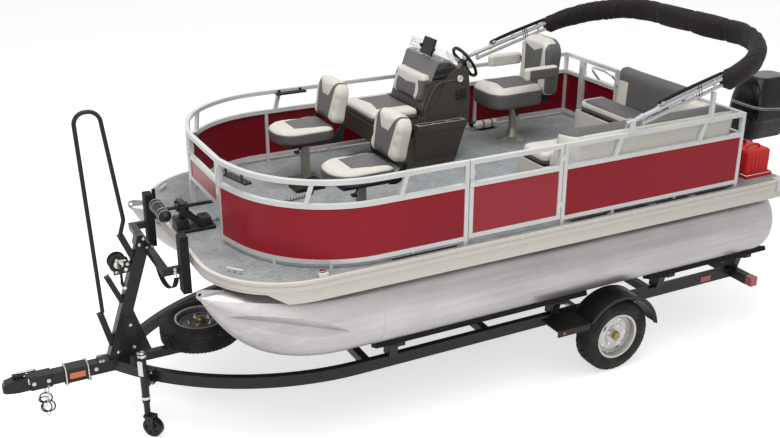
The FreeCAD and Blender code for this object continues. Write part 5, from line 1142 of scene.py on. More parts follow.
def makeBoot():
    # cloth sock over the folded canopy: swollen, then gathered into folds that run along it
    boot = skinOf("top_boot")
    boot.name = "topBoot"
    swell(boot, voxel=0.013, most=0.010, pressure=3.0)
    inner = top["y"] - top["corner"]
    normals = [point.normal.copy() for point in boot.data.vertices]
    for point, normal in zip(boot.data.vertices, normals):
        spot = point.co
        side = min(1, max(0, (abs(spot.y) - inner) / top["corner"]))
        acrossBoat = Vector((spot.x * 10, spot.y * 2.2, spot.z * 10))
        alongLeg = Vector((spot.x * 2.8, spot.y * 11, spot.z * 10))
        fold = noise.fractal(acrossBoat.lerp(alongLeg, side ** 2), 1.0, 2.1, 4)
        broad = noise.noise(spot * 2.3 + Vector((3, 1, 5)))
        pinch = sum(math.exp(-((abs(spot.y) - station) / 0.022) ** 2) for station in top["pinches"])
        point.co = spot + normal * (top["fold"] * fold + top["broad"] * broad - top["pinch"] * pinch - top["sink"])
        slack = noise.noise(Vector((spot.y * 3.0, spot.x * 3.0, 2.0))) * 0.5 + 0.5
        if normal.z < 0.1:
            point.co.z -= (top["sag"] + top["slack"] * slack) * (0.1 - normal.z) * (1 - 0.35 * side)
    # the mouths are tied in round the tubes
    forward = topSpot(1, 0) - topSpot(0, 0)
    for point in boot.data.vertices:
        along = (point.co - topSpot(top["start"], point.co.y)).dot(forward)
        if along < top["mouth"] and abs(point.co.y) > 1.0:
            core = topSpot(top["start"] + along, math.copysign(top["y"], point.co.y), -0.010)
            keep = top["tied"] + (1 - top["tied"]) * max(0, along) / top["mouth"]
            point.co = core + (point.co - core) * keep
    dress(boot, "boot", "folding_top", 80)
    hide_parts("top_boot")


def makeTopHardware():
    # clamps on the folded tubes, hinge knuckles at the pivots and the webbing that holds them
    clamps, webs, sleeves = [], [], []
    forward = (topSpot(1, 0) - topSpot(0, 0)).normalized()
    for hand in (1, -1):
        y, out = hand * top["y"], Vector((0, hand, 0))
        for along, lift in top["clamps"]:
            start = topSpot(along, y, lift)
            clamps.append(barrel("clamp", start - forward * 0.016, start + forward * 0.016,
                                 0.0225 if lift == 0 else 0.0185, sides=20, rounding=0.002))
            clamps.append(barrel("screw", start + out * 0.014, start + out * 0.027, 0.0045, sides=8))
        pivot = topSpot(0, y)
        clamps.append(barrel("cap", pivot + out * 0.0275, pivot + out * 0.034, 0.012, 0.010, 16, 0.001))
        clamps.append(barrel("stub", pivot - forward * 0.030, pivot + forward * 0.050, 0.0155, sides=20,
                             rounding=0.002))
        for stations, lift, radius in (((0.05, 0.40, 0.885), 0, 0.0185), ((0.115, 0.885), -0.052, 0.0150)):
            sleeves.append(tubeRun("sleeve", [topSpot(along, y, lift) for along in stations], radius, curved=False))
        webs.append(tubeRun("web", [topSpot(along, y, lift) for along, lift in
                                    ((0.270, 0.040), (0.42, 0.049), (0.62, 0.047), (0.885, 0.040))], 0.0150))
        for along in top["bands"]:
            loop = [topSpot(along, y + across, lift) for across, lift in
                    ((-0.016, -0.064), (0.016, -0.064), (0.017, 0), (0.014, 0.046), (-0.014, 0.046), (-0.017, 0))]
            webs.append(tubeRun("web", loop, 0.0032, closed=True, detail=2))
    dress(together("topClamps", clamps + sleeves), "topTube", "folding_top")
    dress(together("topWebbing", webs), "strap", "folding_top", 60)


bottle = {"place": (-0.98, -1.082, 1.437), "length": (-0.115, 0.085), "radius": 0.040,
          "neck": ((0.022, 0.80), (0.012, 0.45), (0.020, 0.95)), "bands": (-0.062, -0.050, 0.028, 0.040),
          "work": ((block, "valve", (0.133, -0.013, -0.013), (0.165, 0.013, 0.013), 0.003),
                   (block, "lever", (0.10, -0.009, 0.018), (0.175, 0.009, 0.023), 0.002),
                   (block, "handle", (0.105, -0.009, 0.034), (0.178, 0.009, 0.038), 0.002),
                   (block, "link", (0.160, -0.006, 0.010), (0.170, 0.006, 0.037), 0.002),
                   (block, "foot", (-0.09, -0.03, -0.0498), (0.07, 0.03, -0.035), 0.004))}


def makeExtinguisher():
    x, y, z = bottle["place"]
    aft, fore = bottle["length"]
    body = barrel("extinguisherBody", (x + aft, y, z), (x + fore, y, z), bottle["radius"], sides=32)
    pick(body, faces=lambda face: face.normal.x > 0.9)
    for length, scale in bottle["neck"]:
        bpy.ops.mesh.extrude_region_move(TRANSFORM_OT_translate={"value": (length, 0, 0)})
        bpy.ops.transform.resize(value=(1, scale, scale), center_override=(x + 0.1, y, z))
    done()
    applied(body, "BEVEL", width=0.004, segments=3, limit_method="ANGLE", angle_limit=math.radians(30))
    dress(body, gloss("extinguisherWhite", rgb(228, 226, 220), 0.2), "base")
    pieces = builtAt(bottle["place"], bottle["work"])
    pieces += [ringPiece("band", (x + dx, y, z), (1, 0, 0), 0.0405, 0.0032, 36) for dx in bottle["bands"]]
    dress(together("extinguisherClamp", pieces), "shell", "base")


makeBoot()
makeTopHardware()
makeExtinguisher()
print("folding top ready")

wheels = {"x": -0.850, "y": 1.100, "radius": 0.305, "width": 0.178, "rim": 0.182, "lugCircle": 0.086, "blocks": 60,
          "groove": 0.0075, "block": 0.0066, "lug": 0.0022, "shoulder": (0.027, 0.010), "nuts": 5, "firstNut": 0.31,
          "valve": (1.9, 0.160)}
# parts of a wheel's face: how far out along the axle they start and end, and their two radii
nutForm = (("washer", 0.034, 0.0425, 0.0165, 0.014, 24, 0.001), ("nut", 0.0415, 0.056, 0.0112, None, 6, 0.0015),
           ("stud", 0.055, 0.061, 0.0058, None, 16, 0.001))
hubForm = (("skirt", 0.046, 0.063, 0.0375, 0.0365, 40, 0.0015), ("cap", 0.060, 0.078, 0.0325, 0.0285, 40, 0.005),
           ("plug", 0.076, 0.081, 0.009, 0.008, 20, 0.001))


def spunRing(name, outline, axis, centre, steps=96):
    # (radius, offset) corners turned about the given axis through the centre
    ring = fresh(name, bpy.ops.mesh.primitive_circle_add, vertices=len(outline), radius=1)
    for point, (radius, offset) in zip(ring.data.vertices, outline):
        point.co = (radius, 0, offset)
    bpy.ops.object.mode_set(mode="EDIT")
    bpy.ops.mesh.select_all(action="SELECT")
    bpy.ops.mesh.spin(steps=steps, angle=2 * math.pi, center=(0, 0, 0), axis=(0, 0, 1))
    bpy.ops.mesh.select_all(action="SELECT")
    bpy.ops.mesh.remove_doubles(threshold=0.00005)
    bpy.ops.mesh.normals_make_consistent(inside=False)
    done()
    ring.rotation_euler = Vector(axis).to_track_quat("Z", "Y").to_euler()
    ring.location = centre
    return settle(ring)


def treadedTyre(name, centre, axis):
    half, rim, outer = wheels["width"] / 2, wheels["rim"], wheels["radius"]
    base = outer - wheels["groove"]
    outline = [(rim, -half + 0.022), (rim + 0.010, -half + 0.010), (rim + 0.024, -half + 0.003),
               (rim + 0.045, -half + 0.0005), (rim + 0.062, -half), (rim + 0.064, -half + 0.002),
               (rim + 0.082, -half + 0.004), (outer - 0.026, -half + 0.010),
               (outer - 0.012, -half + 0.020)]
    ribs = [(-0.064, -0.040), (-0.034, -0.014), (-0.009, 0.009), (0.014, 0.034), (0.040, 0.064)]
    for low, high in ribs:
        crown = [0.0030 * (abs(v) / 0.064) ** 2 for v in (low, high)]
        outline += [(base - crown[0], low), (base - crown[1], high)]
    outline += [(radius, -offset) for radius, offset in outline[8::-1]]
    tyre = spunRing(name, outline, (0, 0, 1), (0, 0, 0), wheels["blocks"] * 2)

    def spotOf(face):  # its radius, and the number of its step round the tyre
        turn = math.atan2(face.center.y, face.center.x) % (2 * math.pi)
        return math.hypot(face.center.x, face.center.y), math.floor(turn / (math.pi / wheels["blocks"]))

    def raised(face):  # rib faces rise into blocks, with a narrow cut between one block and the next
        radius, index = spotOf(face)
        rib = next((i for i, (low, high) in enumerate(ribs) if low < face.center.z < high), None)
        return rib is not None and radius > base - 0.004 and abs(face.normal.z) < 0.5 and (index + rib) % 4 != 3

    def lugged(face):  # every second step of the sidewall by the shoulder
        radius, index = spotOf(face)
        return outer - wheels["shoulder"][0] < radius < outer - wheels["shoulder"][1] and index % 2 == 0

    for chosen, height in ((raised, wheels["block"]), (lugged, wheels["lug"])):
        pick(tyre, faces=chosen)
        bpy.ops.mesh.extrude_region_shrink_fatten(TRANSFORM_OT_shrink_fatten={"value": height})
        done()
    applied(tyre, "BEVEL", width=0.0008, segments=1, limit_method="ANGLE", angle_limit=math.radians(50))
    tyre.rotation_euler = Vector(axis).to_track_quat("Z", "Y").to_euler()
    tyre.location = centre
    return settle(tyre)


def wheelFace(name, centre, axis, body):
    # lug nuts, hub cap, rim steps and valve on a wheel whose outside looks along the axis
    centre, axis = Vector(centre), Vector(axis).normalized()
    side = axis.orthogonal().normalized()
    other = axis.cross(side)

    def onCircle(angle, radius):
        return centre + (side * math.cos(angle) + other * math.sin(angle)) * radius

    def turned(word, spot, start, end, radius, farRadius, sides, rounding):
        return barrel(word, spot + axis * start, spot + axis * end, radius, farRadius, sides, rounding)

    turns = [2 * math.pi * index / wheels["nuts"] + wheels["firstNut"] for index in range(wheels["nuts"])]
    nuts = [turned(word, onCircle(turn, wheels["lugCircle"]), *form) for turn in turns for word, *form in nutForm]
    dress(together(f"{name}Nuts", nuts), "chrome", body)
    hub = [turned(word, centre, *form) for word, *form in hubForm]
    dress(together(f"{name}Hub", hub), "brass", body)
    rim = wheels["rim"]
    lip = [(rim - 0.0005, 0.0700), (rim + 0.0065, 0.0745), (rim + 0.0070, 0.0790), (rim - 0.003, 0.0800),
           (rim - 0.010, 0.0760), (rim - 0.010, 0.0705)]
    steps = [spunRing("step", lip, axis, centre, 72),
             spunRing("well", [(0.150, 0.0335), (0.158, 0.0345), (0.163, 0.0310), (0.163, 0.0270), (0.150, 0.0285)],
                      axis, centre, 72),
             turned("valve", onCircle(*wheels["valve"]), 0.025, 0.062, 0.0052, 0.0038, 16, 0.001)]
    dress(together(f"{name}Steps", steps), "wheel", body)


for hand, word in ((1, "port"), (-1, "starboard")):
    place = (wheels["x"], hand * wheels["y"], wheels["radius"])
    tyre = treadedTyre(f"tyre{word.title()}", place, (0, 1, 0))
    dress(tyre, "tyre", f"wheel_{word}", 40)
    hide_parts(f"trailer_tyre_{word}")
    wheelFace(f"wheel{word.title()}", place, (0, hand, 0), f"wheel_{word}")


def makeSpare():
    low, high = (Vector(corner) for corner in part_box("spare_wheel"))
    centre = (low + high) / 2
    tyre = treadedTyre("spareTyre", centre, (0, 0, 1))
    dress(tyre, "tyre", "base", 40)
    rim = skinOf("trailer_wheel_port")
    rim.name = "spareRim"
    rim.matrix_world = (Matrix.Translation(centre) @ Matrix.Rotation(math.pi / 2, 4, "X")
                        @ Matrix.Translation((-wheels["x"], -wheels["y"], -wheels["radius"])))
    settle(rim)
    # the spare rim takes the darkened silver: painted shade
    dress(rim, "spareShadedRim", "base")
    for piece in (tyre, rim):
        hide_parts("spare_wheel")
    wheelFace("spare", centre, (0, 0, 1), "base")


makeSpare()
print("wheels ready")

tongue = {"low": 0.400, "high": 0.490, "half": 0.041, "collar": (3.040, 3.210), "collarHalf": 0.052, "inset": 0.006,
          "pinX": 3.480,
          "latch": ((block, "latch", (-0.075, -0.011, 0.0445), (0.040, 0.011, 0.049), 0.0015),
                    (block, "trigger", (-0.085, -0.009, 0.030), (-0.078, 0.009, 0.062), 0.0015),
                    (barrel, "latchPin", (0, -0.022, 0.020), (0, 0.022, 0.020), 0.006, None, 16, 0.001))}
stand = {"winch": (2.752, 1.233), "guideX": 2.4615, "guideY": 0.450,
         "rows": ((0.048, ((2.560, 1.392), (2.592, 1.352), (2.540, 1.318))),
                  (0.046, ((2.705, 0.560), (2.820, 0.545), (2.715, 0.740))),
                  (0.042, ((2.690, 1.222), (2.705, 1.180), (2.770, 1.172), (2.762, 1.262)))),
         "top": (2.655, 2.690, 2.935, 2.955), "guideBolts": (1.283, 1.308),
         "chain": ((2.505, 0.060, 1.330), (2.500, 0.072, 1.285), (2.497, 0.080, 1.236)),
         "strap": ((2.495, 0.083, 1.232), (2.485, 0.120, 1.130), (2.470, 0.200, 1.075), (2.455, 0.300, 1.085),
                   (2.445, 0.385, 1.150), (2.440, 0.405, 1.215)),
         "hook": ((2.440, 0.405, 1.215), (2.442, 0.412, 1.235), (2.444, 0.418, 1.262)),
         "wound": ((0.0525, -0.027), (0.0555, -0.026), (0.0555, 0.026), (0.0525, 0.027)),
         "gears": ((barrel, "pinion", (-0.046, 0.0425, -0.046), (-0.046, 0.054, -0.046), 0.014, None, 14, 0.001),
                   (barrel, "ratchet", (0, 0.0425, 0), (0, 0.051, 0), 0.034, None, 28, 0.001),
                   (block, "pawl", (-0.055, 0.043, 0.018), (-0.010, 0.050, 0.032), 0.002),
                   (barrel, "gripCap", (0, 0.186, -0.123), (0, 0.1935, -0.123), 0.0145, 0.011, 20, 0.002))}


def boltsAt(name, spots, look, body, radius=0.0085, height=0.008):
    # hexagon heads on washers; each spot is a place and the way it looks
    heads = []
    for spot, aim in spots:
        spot, aim = Vector(spot), Vector(aim).normalized()
        heads.append(barrel("washer", spot - aim * 0.001, spot + aim * 0.0025, radius * 1.55, radius * 1.45,
                            16, 0.0005))
        heads.append(barrel("head", spot + aim * 0.002, spot + aim * height, radius, sides=6, rounding=0.0012))
        heads.append(barrel("stud", spot + aim * height * 0.9, spot + aim * (height + 0.003), radius * 0.55, sides=12,
                            rounding=0.0006))
    dress(together(name, heads), look, body)


def chainAlong(name, points, wire, link, body):
    # links along the points, each turned a quarter from the last
    reach = [0.0]
    for before, after in zip(points, points[1:]):
        reach.append(reach[-1] + (Vector(after) - Vector(before)).length)
    count = max(2, round(reach[-1] / (link * 0.74)))
    links = []
    for index in range(count):
        along = reach[-1] * (index + 0.5) / count
        leg = next(i for i in range(len(points) - 1) if reach[i + 1] >= along)
        start, end = Vector(points[leg]), Vector(points[leg + 1])
        centre = start.lerp(end, (along - reach[leg]) / (reach[leg + 1] - reach[leg]))
        piece = ringPiece("link", (0, 0, 0), (0, 0, 1), link * 0.27, wire, 20)
        for point in piece.data.vertices:
            point.co.x += math.copysign(link * 0.22, point.co.x) if abs(point.co.x) > 0.0005 else 0
        turn = (end - start).to_track_quat("X", "Z").to_matrix().to_4x4()
        piece.matrix_world = Matrix.Translation(centre) @ turn @ Matrix.Rotation(math.pi / 2 * (index % 2), 4, "X")
        links.append(settle(piece))
    dress(together(name, links), "zinc", body, 60)


def makeWinchStand():
    wx, wz = stand["winch"]
    spots = [((x, hand * y, z), (0, hand, 0)) for hand in (1, -1) for y, row in stand["rows"] for x, z in row]
    spots += [((x, hand * 0.047, 0.500), (0, 0, 1)) for x in stand["top"] for hand in (1, -1)]
    spots += [((stand["guideX"], hand * (stand["guideY"] + 0.020), z), (0, hand, 0))
              for hand in (1, -1) for z in stand["guideBolts"]]
    boltsAt("standBolts", spots, "zinc", "base")

    # strap wound on the spool, and its pawl and pinion
    wound = spunRing("woundStrap", stand["wound"], (0, 1, 0), (wx, 0, wz), 48)
    dress(wound, "strap", "base")
    gears = builtAt((wx, 0, wz), stand["gears"])
    dress(together("winchGears", gears), "zinc", "base")

    # chain from the head, then the webbing loop that hangs to the port guide, and its hook
    chainAlong("bowChain", stand["chain"], 0.0028, 0.022, "base")
    strap = strand("bowStrap", stand["strap"], resolution_u=10, extrude=0.019)
    for spot in strap.data.splines[0].points:
        spot.tilt = math.pi / 2
    only(strap)
    bpy.ops.object.convert(target="MESH")
    strap = bpy.context.object
    applied(strap, "SOLIDIFY", thickness=0.0022, offset=0)
    dress(strap, "strap", "base", 60)
    dress(tubeRun("bowHook", stand["hook"], 0.004, detail=2), "zinc", "base", 60)


safety = {"chain": ((3.330, 0.050, 0.405), (3.345, 0.062, 0.345), (3.350, 0.060, 0.292)),
          "ring": (3.350, 0.060, 0.254),
          "hook": ((-0.006, -0.034), (-0.006, -0.056), (0.004, -0.078), (0.020, -0.072), (0.020, -0.050))}


def makeTongueWork():
    low, high, half = tongue["low"], tongue["high"], tongue["half"]
    reach = tongue["collarHalf"] + tongue["inset"]
    bars = []
    for x in (tongue["collar"][0] + tongue["inset"], tongue["collar"][1] - tongue["inset"]):
        leg = [(x, reach, low - 0.030), (x, reach, high + 0.004), (x, reach - 0.006, high + 0.0165)]
        bars.append(tubeRun("ubolt", leg + [(x, -y, z) for x, y, z in reversed(leg)], 0.0055, curved=False, detail=2))
        for hand in (1, -1):
            bars.append(barrel("nut", (x, hand * reach, low - 0.021), (x, hand * reach, low - 0.012), 0.010, sides=6,
                               rounding=0.001))
        bars.append(block("bridge", (x - 0.014, -reach - 0.008, low - 0.0125),
                          (x + 0.014, reach + 0.008, low - 0.0085), 0.001))
    # coupler's latch plate, trigger, pin and its ring, over the cast body
    bars += builtAt((tongue["pinX"], 0, high), tongue["latch"])
    bars.append(tubeRun("pinRing", [(tongue["pinX"] + 0.016 * math.cos(a), -0.026, high + 0.008 + 0.016 * math.sin(a))
                                    for a in (0, 1.26, 2.51, 3.77, 5.03)], 0.0016, closed=True, detail=2))
    dress(together("tongueSteel", bars), "zinc", "base", 50)
    spots = [((x, hand * 0.048, 0.445), (0, hand, 0)) for x in (3.325, 3.425) for hand in (1, -1)]
    spots += [((x, half, 0.445), (0, 1, 0)) for x in (2.790, 2.990)]
    boltsAt("tongueBolts", spots, "zinc", "base", 0.010, 0.009)

    # safety chains fall from the tongue to a pair of rings with open hooks
    for hand, word in ((1, "Port"), (-1, "Starboard")):
        chainAlong(f"safetyChain{word}", [(x, hand * y, z) for x, y, z in safety["chain"]], 0.0032, 0.026, "base")
        x, y, z = safety["ring"]
        centre = Vector((x, hand * y, z))
        rings = [ringPiece("ring", centre, (0.3, 1, 0.1 * hand), 0.043, 0.0058, 32),
                 ringPiece("smallRing", centre + Vector((0.016, -0.008 * hand, -0.008)), (0.2, 1, 0.5 * hand), 0.036,
                           0.0050, 32)]
        dress(together(f"safetyRings{word}", rings), "black", "base", 60)
        hook = [centre + Vector((dx, 0, dz)) for dx, dz in safety["hook"]]
        dress(tubeRun(f"safetyHook{word}", hook, 0.0042, detail=2), "zinc", "base", 60)


lip = {"radius": 0.364, "y": 1.2165, "inner": 0.992, "step": 0.208, "marker": (0.560, 0.185),
       "edge": ((0.300, 1.2165), (0.600, 1.2165), (0.612, 1.205), (0.612, 0.995))}


def makeFenderTrim():
    # rolled lip round each mudguard, welded seam and a marker on its step
    x, z = wheels["x"], wheels["radius"]
    arc = [(x + lip["radius"] * math.cos(math.radians(a)), z + lip["radius"] * math.sin(math.radians(a)))
           for a in range(36, 172, 9)]
    for hand, word in ((1, "Port"), (-1, "Starboard")):
        y = hand * lip["y"]
        trim = [tubeRun("lip", [(px, y, pz) for px, pz in arc], 0.0085, detail=2),
                tubeRun("seam", [(px, hand * lip["inner"], pz) for px, pz in arc], 0.0055, detail=2),
                tubeRun("edge", [(x + dx, hand * py, z + lip["step"]) for dx, py in lip["edge"]], 0.0075,
                        curved=False, detail=2)]
        dress(together(f"fenderLip{word}", trim), "black", "base", 60)
        markX, markZ = x + lip["marker"][0], z + lip["marker"][1]
        marker = barrel(f"fenderMarker{word}", (markX, y, markZ), (markX, y + hand * 0.005, markZ), 0.012, 0.010,
                        24, 0.002)
        dress(marker, "amber", "base")


jack = {"axis": (2.7227, 0.3567, 0), "turn": 47.4, "collars": (0.640, 0.300), "cap": (0.6695, 0.678),
        "bracket": 0.560,
        "clamp": 0.052, "boltAcross": (-0.024, 0.024), "boltLevels": (0.405, 0.485)}


def makeJackTrim():
    axis, angle, up = Vector(jack["axis"]), math.radians(jack["turn"]), Vector((0, 0, 1))
    out, side = Vector((math.sin(angle), math.cos(angle), 0)), Vector((math.cos(angle), -math.sin(angle), 0))
    pieces = [barrel("collar", axis + up * z, axis + up * (z + 0.022), 0.0315, sides=32, rounding=0.003)
              for z in jack["collars"]]
    pieces.append(barrel("cap", axis + up * jack["cap"][0], axis + up * jack["cap"][1], 0.027, 0.022, 32, 0.003))
    bracket = block("bracket", (-0.020, -0.004, -0.060), (0.020, 0.004, 0.060), 0.003)
    bracket.rotation_euler = (0, 0, -angle)
    bracket.location = axis + out * 0.031 + up * jack["bracket"]
    pieces.append(settle(bracket))
    dress(together("jackTrim", pieces), "zinc", "jack_leg")
    spots = [(axis - out * jack["clamp"] + side * along + up * z, out)
             for along in jack["boltAcross"] for z in jack["boltLevels"]]
    boltsAt("clampBolts", spots, "zinc", "base", 0.0075, 0.007)


makeWinchStand()
makeTongueWork()
makeFenderTrim()
makeJackTrim()
print("trailer details ready")

hood = {"voxel": 0.010, "waist": 0.33, "crown": 0.62, "foot": 0.03, "rear": 0.36, "rake": 0.12, "stripeZ": 2.025,
        "lowerZ": 1.492, "black": rgb(16, 16, 18), "lower": rgb(34, 34, 36), "stripe": rgb(150, 150, 152),
        "vents": (1.700, 0.026)}


def makeCowl():
    # smooth moulded hood with a waist line, from the plain hood's own form
    cowl = skinOf("outboard_cowl")
    cowl.name = "motorHood"
    cowl.data.remesh_voxel_size = hood["voxel"]
    only(cowl)
    bpy.ops.object.voxel_remesh()
    applied(cowl, "SMOOTH", factor=0.5, iterations=26)
    low, high = (Vector(corner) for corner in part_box("outboard_cowl"))
    middle = (low + high) / 2
    for point in cowl.data.vertices:
        spot = point.co
        up = (spot.z - low.z) / (high.z - low.z)
        # a step below the waist, shoulders drawn in and a lip round the foot
        waist = 1 / (1 + math.exp((up - hood["waist"]) * 60))
        crown = max(0, up - hood["crown"])
        flare = math.exp(-((up - hood["foot"]) / hood["foot"]) ** 2)
        scale = 1.035 - 0.075 * waist - 0.55 * crown ** 2 + 0.03 * flare
        spot.x = middle.x + (spot.x - middle.x) * (scale + 0.01)
        if spot.x < middle.x:
            spot.x += 0.075 * max(0, 1 - up / hood["rear"])
        spot.y = middle.y + (spot.y - middle.y) * scale
        spot.x = max(low.x, min(high.x, spot.x))
        spot.y = max(low.y, min(high.y, spot.y))
        spot.z = max(low.z + 0.001, spot.z)
    look = Look("hoodGloss", hood["black"], 0.2, 0.0, Coat_Weight=0.1, Coat_Roughness=0.08, Specular_IOR_Level=0.2)
    x, _, z = look.axes()
    rake = z - x * hood["rake"] - hood["stripeZ"]
    stripe = (0.007 - abs(rake + 0.02)).step(0, 0.001) + (0.0028 - abs(rake + 0.036)).step(0, 0.0006)
    lower = (hood["lowerZ"] - z).step(0, 0.002)
    tone = look.mix(stripe, look.mix(lower, hood["black"], hood["lower"]), hood["stripe"])
    look.set(**{"Base Color": tone, "Roughness": 0.18 + lower * 0.22,
                "Normal": look.bump(look.noise(2, 2), 0.0008, 0.3)})
    dress(cowl, look, "motor", 60)
    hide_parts("outboard_cowl")

    # rear vents, latch and the flush port
    first, pitch = hood["vents"]
    fittings = [block("vent", (low.x + 0.012, -0.055, first + index * pitch),
                      (low.x + 0.030, 0.055, first + 0.010 + index * pitch), 0.002) for index in range(4)]
    fittings.append(block("latch", (high.x - 0.030, -0.030, 1.470), (high.x - 0.004, 0.030, 1.500), 0.006))
    fittings.append(barrel("flush", (low.x + 0.12, low.y + 0.055, 1.375), (low.x + 0.12, low.y + 0.030, 1.375),
                           0.014, 0.012, 20, 0.002))
    dress(together("hoodFittings", fittings), "shell", "motor")


# outlines in the plane of the boat's length and height, with the width between two faces
deckTop = 1.387
cradle = {"z": 1.565, "ramp": ((2.222, 0.020), (2.318, 0.020), (2.322, 0.088), (2.306, 0.102), (2.262, 0.100),
                               (2.236, 0.082)),
          "rear": ((2.046, 0.020), (2.172, 0.020), (2.150, 0.046), (2.134, 0.086), (2.066, 0.084)),
          "skirt": ((2.036, 2.318), 0.089), "arm": (0.066, 0.068, 0.078, 0.086),
          "pins": (("armPin", 2.266, 0.176, 0.013, 0.011), ("armFoot", 2.126, 0.038, 0.012, 0.010)),
          "bands": ((-0.112, 0.0462), (-0.060, 0.0455), (0.075, 0.0455), (0.130, 0.0462)),
          "screws": (0.036, -0.116, 0.6)}


def makeBowMotorCover():
    # moulded ramps of the bow motor's cradle, with its two arms and the yoke between them
    deck, z = deckTop, cradle["z"]
    (aft, fore), half = cradle["skirt"]
    inner, armLow, armHigh, outer = cradle["arm"]
    parts = [sidePlate("ramp", [(x, deck + up) for x, up in cradle["ramp"]], -0.066, 0.132, 0.010),
             sidePlate("rear", [(x, deck + up) for x, up in cradle["rear"]], -0.061, 0.122, 0.010),
             block("skirt", (aft, -half, deck + 0.0005), (fore, half, deck + 0.026), 0.008, 3),
             block("yoke", (2.236, -0.070, z + 0.034), (2.282, 0.070, z + 0.044), 0.005, 3)]
    for hand in (1, -1):
        arm = [(2.110, deck + 0.030), (2.140, deck + 0.024), (2.288, z - 0.030), (2.292, z + 0.020),
               (2.262, z + 0.034), (2.240, z - 0.010)]
        parts.append(sidePlate("arm", arm, min(hand * armLow, hand * armHigh), 0.010, 0.003))
        for word, x, up, radius, farRadius in cradle["pins"]:
            parts.append(barrel(word, (x, hand * inner, deck + up), (x, hand * outer, deck + up), radius, farRadius,
                                20, 0.002))
    dress(together("bowCradle", parts), mouldedPlastic("cradleBlack", rgb(32, 32, 33), 0.4), "base")

    # clamp bands, end screws and the nose of the bow motor's drive
    low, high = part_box("trolling_propeller")
    x = (low[0] + high[0]) / 2
    parts = [ringPiece("band", (x, y, z), (0, 1, 0), radius, 0.0022, 40) for y, radius in cradle["bands"]]
    radius, y, first = cradle["screws"]
    for turn in range(4):
        angle = math.pi / 2 * turn + first
        spot = Vector((x + radius * math.cos(angle), y, z + radius * math.sin(angle)))
        parts.append(barrel("screw", spot, spot - Vector((0, 0.004, 0)), 0.0045, sides=12, rounding=0.0008))
    parts.append(barrel("spigot", (x, 0.168, z), (x, 0.1795, z), 0.0195, 0.010, 28, 0.004))
    dress(together("bowMotorBands", parts), "steel", "base", 60)


tread = {"start": 1.040, "pitch": 0.024, "y": -0.385, "up": 0.060, "slope": 0.169, "lean": 0.166, "buttonX": 1.215}


def makePedalTread():
    # the pedal's tread ribs, its button and its dial
    parts = []
    for index in range(7):
        along = index * tread["pitch"]
        rib = block("rib", (-0.004, -0.075, -0.001), (0.004, 0.075, 0.0035), 0.0015)
        rib.rotation_euler = (0, tread["lean"], 0)
        rib.location = (tread["start"] + along, tread["y"], deckTop + tread["up"] - (along + 0.008) * tread["slope"])
        parts.append(settle(rib))
    x, foot = tread["buttonX"], deckTop + 0.020
    for word, y, height, radius, farRadius, sides in (("button", -0.345, 0.009, 0.014, 0.012, 24),
                                                      ("dial", -0.425, 0.011, 0.018, 0.016, 16)):
        parts.append(barrel(word, (x, y, foot), (x, y, foot + height), radius, farRadius, sides, 0.002))
    dress(together("pedalTread", parts), "tyre", "base")


tank = {"ribLow": 1.440, "ribHigh": 1.570, "ribReach": (0.0165, 0.0105), "ribRounding": 0.0028,
        "handle": ((0.075, 1.612), (0.085, 1.640), (0.150, 1.648), (0.215, 1.640), (0.225, 1.612)), "handleY": 0.985,
        "cap": (0.150, 0.850), "grips": 14, "gripCircle": 0.0365, "tray": 1.416}


def makeTankTrim():
    low, high = (Vector(corner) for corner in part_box("fuel_tank"))
    (near, far), foot, head = tank["ribReach"], tank["ribLow"], tank["ribHigh"]
    ribs = []
    for index in range(5):
        x, y = low.x + 0.060 + index * 0.040, low.y + 0.075 + index * 0.047
        for start, end in (((x - 0.007, high.y - near, foot), (x + 0.007, high.y - far, head)),
                           ((high.x - near, y - 0.008, foot), (high.x - far, y + 0.008, head))):
            ribs.append(block("rib", start, end, tank["ribRounding"]))
    ribs.append(tubeRun("handle", [(low.x + dx, tank["handleY"], z) for dx, z in tank["handle"]], 0.010))
    dress(together("tankRibs", ribs), "tank", "base", 50)

    # screw cap with its vent and grips
    x, y = low.x + tank["cap"][0], tank["cap"][1]
    cap = builtAt((x, y, 0), ((barrel, "cap", (0, 0, 1.636), (0, 0, 1.654), 0.0375, 0.034, 28, 0.003),
                              (barrel, "vent", (0, 0, 1.652), (0, 0, 1.664), 0.011, 0.009, 20, 0.002)))
    for index in range(tank["grips"]):
        angle = 2 * math.pi * index / tank["grips"]
        gx, gy = x + tank["gripCircle"] * math.cos(angle), y + tank["gripCircle"] * math.sin(angle)
        cap.append(block("grip", (gx - 0.003, gy - 0.003, 1.637), (gx + 0.003, gy + 0.003, 1.652), 0.001))
    dress(together("tankCap", cap), "shell", "base")
    aft, fore, right, left, z = low.x + 0.001, high.x - 0.001, low.y + 0.001, high.y - 0.001, tank["tray"]
    rim = tubeRun("trayRim", [(aft, right, z), (fore, right, z), (fore, left, z), (aft, left, z)], 0.004, closed=True,
                  curved=False, detail=2)
    dress(rim, "alloy", "base", 60)


# each gate: its body, where its hinge and its latch stand, and the way its outside looks
gateFittings = {"port": ("port_gate", (-0.2185, 1.150), (0.5600, 1.150), (0, 1, 0)),
                "bow": ("bow_gate", (2.0707, 0.3345), (2.0707, -0.3345), (1, 0, 0)),
                "stern": ("stern_gate", (-1.9300, -0.3610), (-1.9300, -0.8790), (-1, 0, 0))}
drains = {"runs": ((-1.88, -0.28), (0.62, 1.20)), "pitch": 0.42, "gap": 0.035, "y": (1.1655, 1.1672),
          "z": (1.3888, 1.4016)}


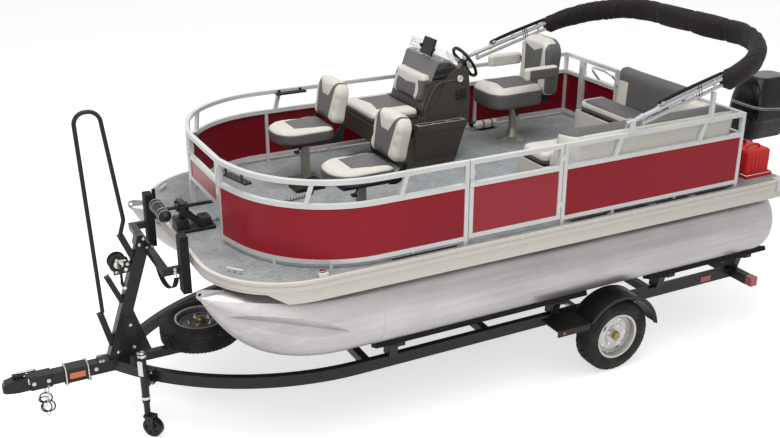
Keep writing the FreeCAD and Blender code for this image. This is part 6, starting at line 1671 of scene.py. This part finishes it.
def makeFenceFittings():
    # butt hinges and latches of the three gates
    up = Vector((0, 0, 1))
    for word, (body, hinge, latch, aim) in gateFittings.items():
        low, high = (Vector(corner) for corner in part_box(f"gate_{word}"))
        hinge, latch, aim = Vector((*hinge, 0)), Vector((*latch, 0)), Vector(aim)
        across = (latch - hinge).normalized()
        facing = aim.to_track_quat("Y", "Z").to_euler()

        def turnedBlock(name, half, place, rounding):
            piece = block(name, -Vector(half), Vector(half), rounding)
            piece.rotation_euler, piece.location = facing, place
            return settle(piece)

        pieces = []
        for z in (low.z + 0.12, high.z - 0.10):
            spot = hinge + up * z + aim * 0.0185
            pieces.append(barrel("knuckle", spot - up * 0.026, spot + up * 0.026, 0.0062, sides=16, rounding=0.0015))
            pieces.append(turnedBlock("leaf", (0.012, 0.0012, 0.022), spot + across * 0.014 - aim * 0.0015, 0.0008))
        spot = latch + up * (high.z - 0.16) - across * 0.010 + aim * 0.0175
        pieces.append(turnedBlock("case", (0.016, 0.0055, 0.024), spot, 0.003))
        pieces.append(barrel("pull", spot + aim * 0.004, spot + aim * 0.014, 0.0075, 0.0085, 20, 0.002))
        dress(together(f"{word}GateFittings", pieces), "zinc", body)

    # drain slots under the bottom rails, drawn as thin black strips on the panel's face: painted shade standing in
    # for the dark of the openings
    slotShades, gap = [], drains["gap"]
    (inner, outer), (low, high) = drains["y"], drains["z"]
    for start, end in drains["runs"]:
        count = max(1, round((end - start) / drains["pitch"]))
        width = (end - start) / count
        for index in range(count):
            x = start + index * width
            slotShades.append(block("slot", (x + gap, inner, low), (x + width - gap, outer, high), 0.0006))
    dress(together("drainSlotShades", slotShades), "shell", "base")


deckFittings = {"lens": (1.675, 1.180), "chairBolts": (0.085, 1.3955), "captainBolts": (0.125, 1.3935)}


def makeDeckFittings():
    # side lamp lens and its cap, then the pedestal bolts
    x, y = deckFittings["lens"]
    lens = barrel("sideLens", (x, y, 1.4195), (x, y, 1.4315), 0.021, 0.015, 32, 0.005)
    cap = block("lensCap", (x - 0.023, y - 0.017, 1.4300), (x + 0.023, y + 0.017, 1.4345), 0.004)
    dress(lens, "red", "base")
    dress(cap, "chrome", "base")
    reach, z = deckFittings["chairBolts"]
    spots = [((chairs["x"] + dx * reach, chairs[side] + dy * reach, z), (0, 0, 1))
             for side in ("port", "starboard") for dx in (-1, 1) for dy in (-1, 1)]
    reach, z = deckFittings["captainBolts"]
    spots += [((captain["x"] + reach * math.cos(angle), captain["y"] + reach * math.sin(angle), z), (0, 0, 1))
              for angle in (math.pi / 3 * index for index in range(6))]
    boltsAt("pedestalBolts", spots, "zinc", "base", 0.0075, 0.006)


makeCowl()
makeBowMotorCover()
makePedalTread()
makeTankTrim()
makeFenceFittings()
makeDeckFittings()
print("motors and fittings ready")
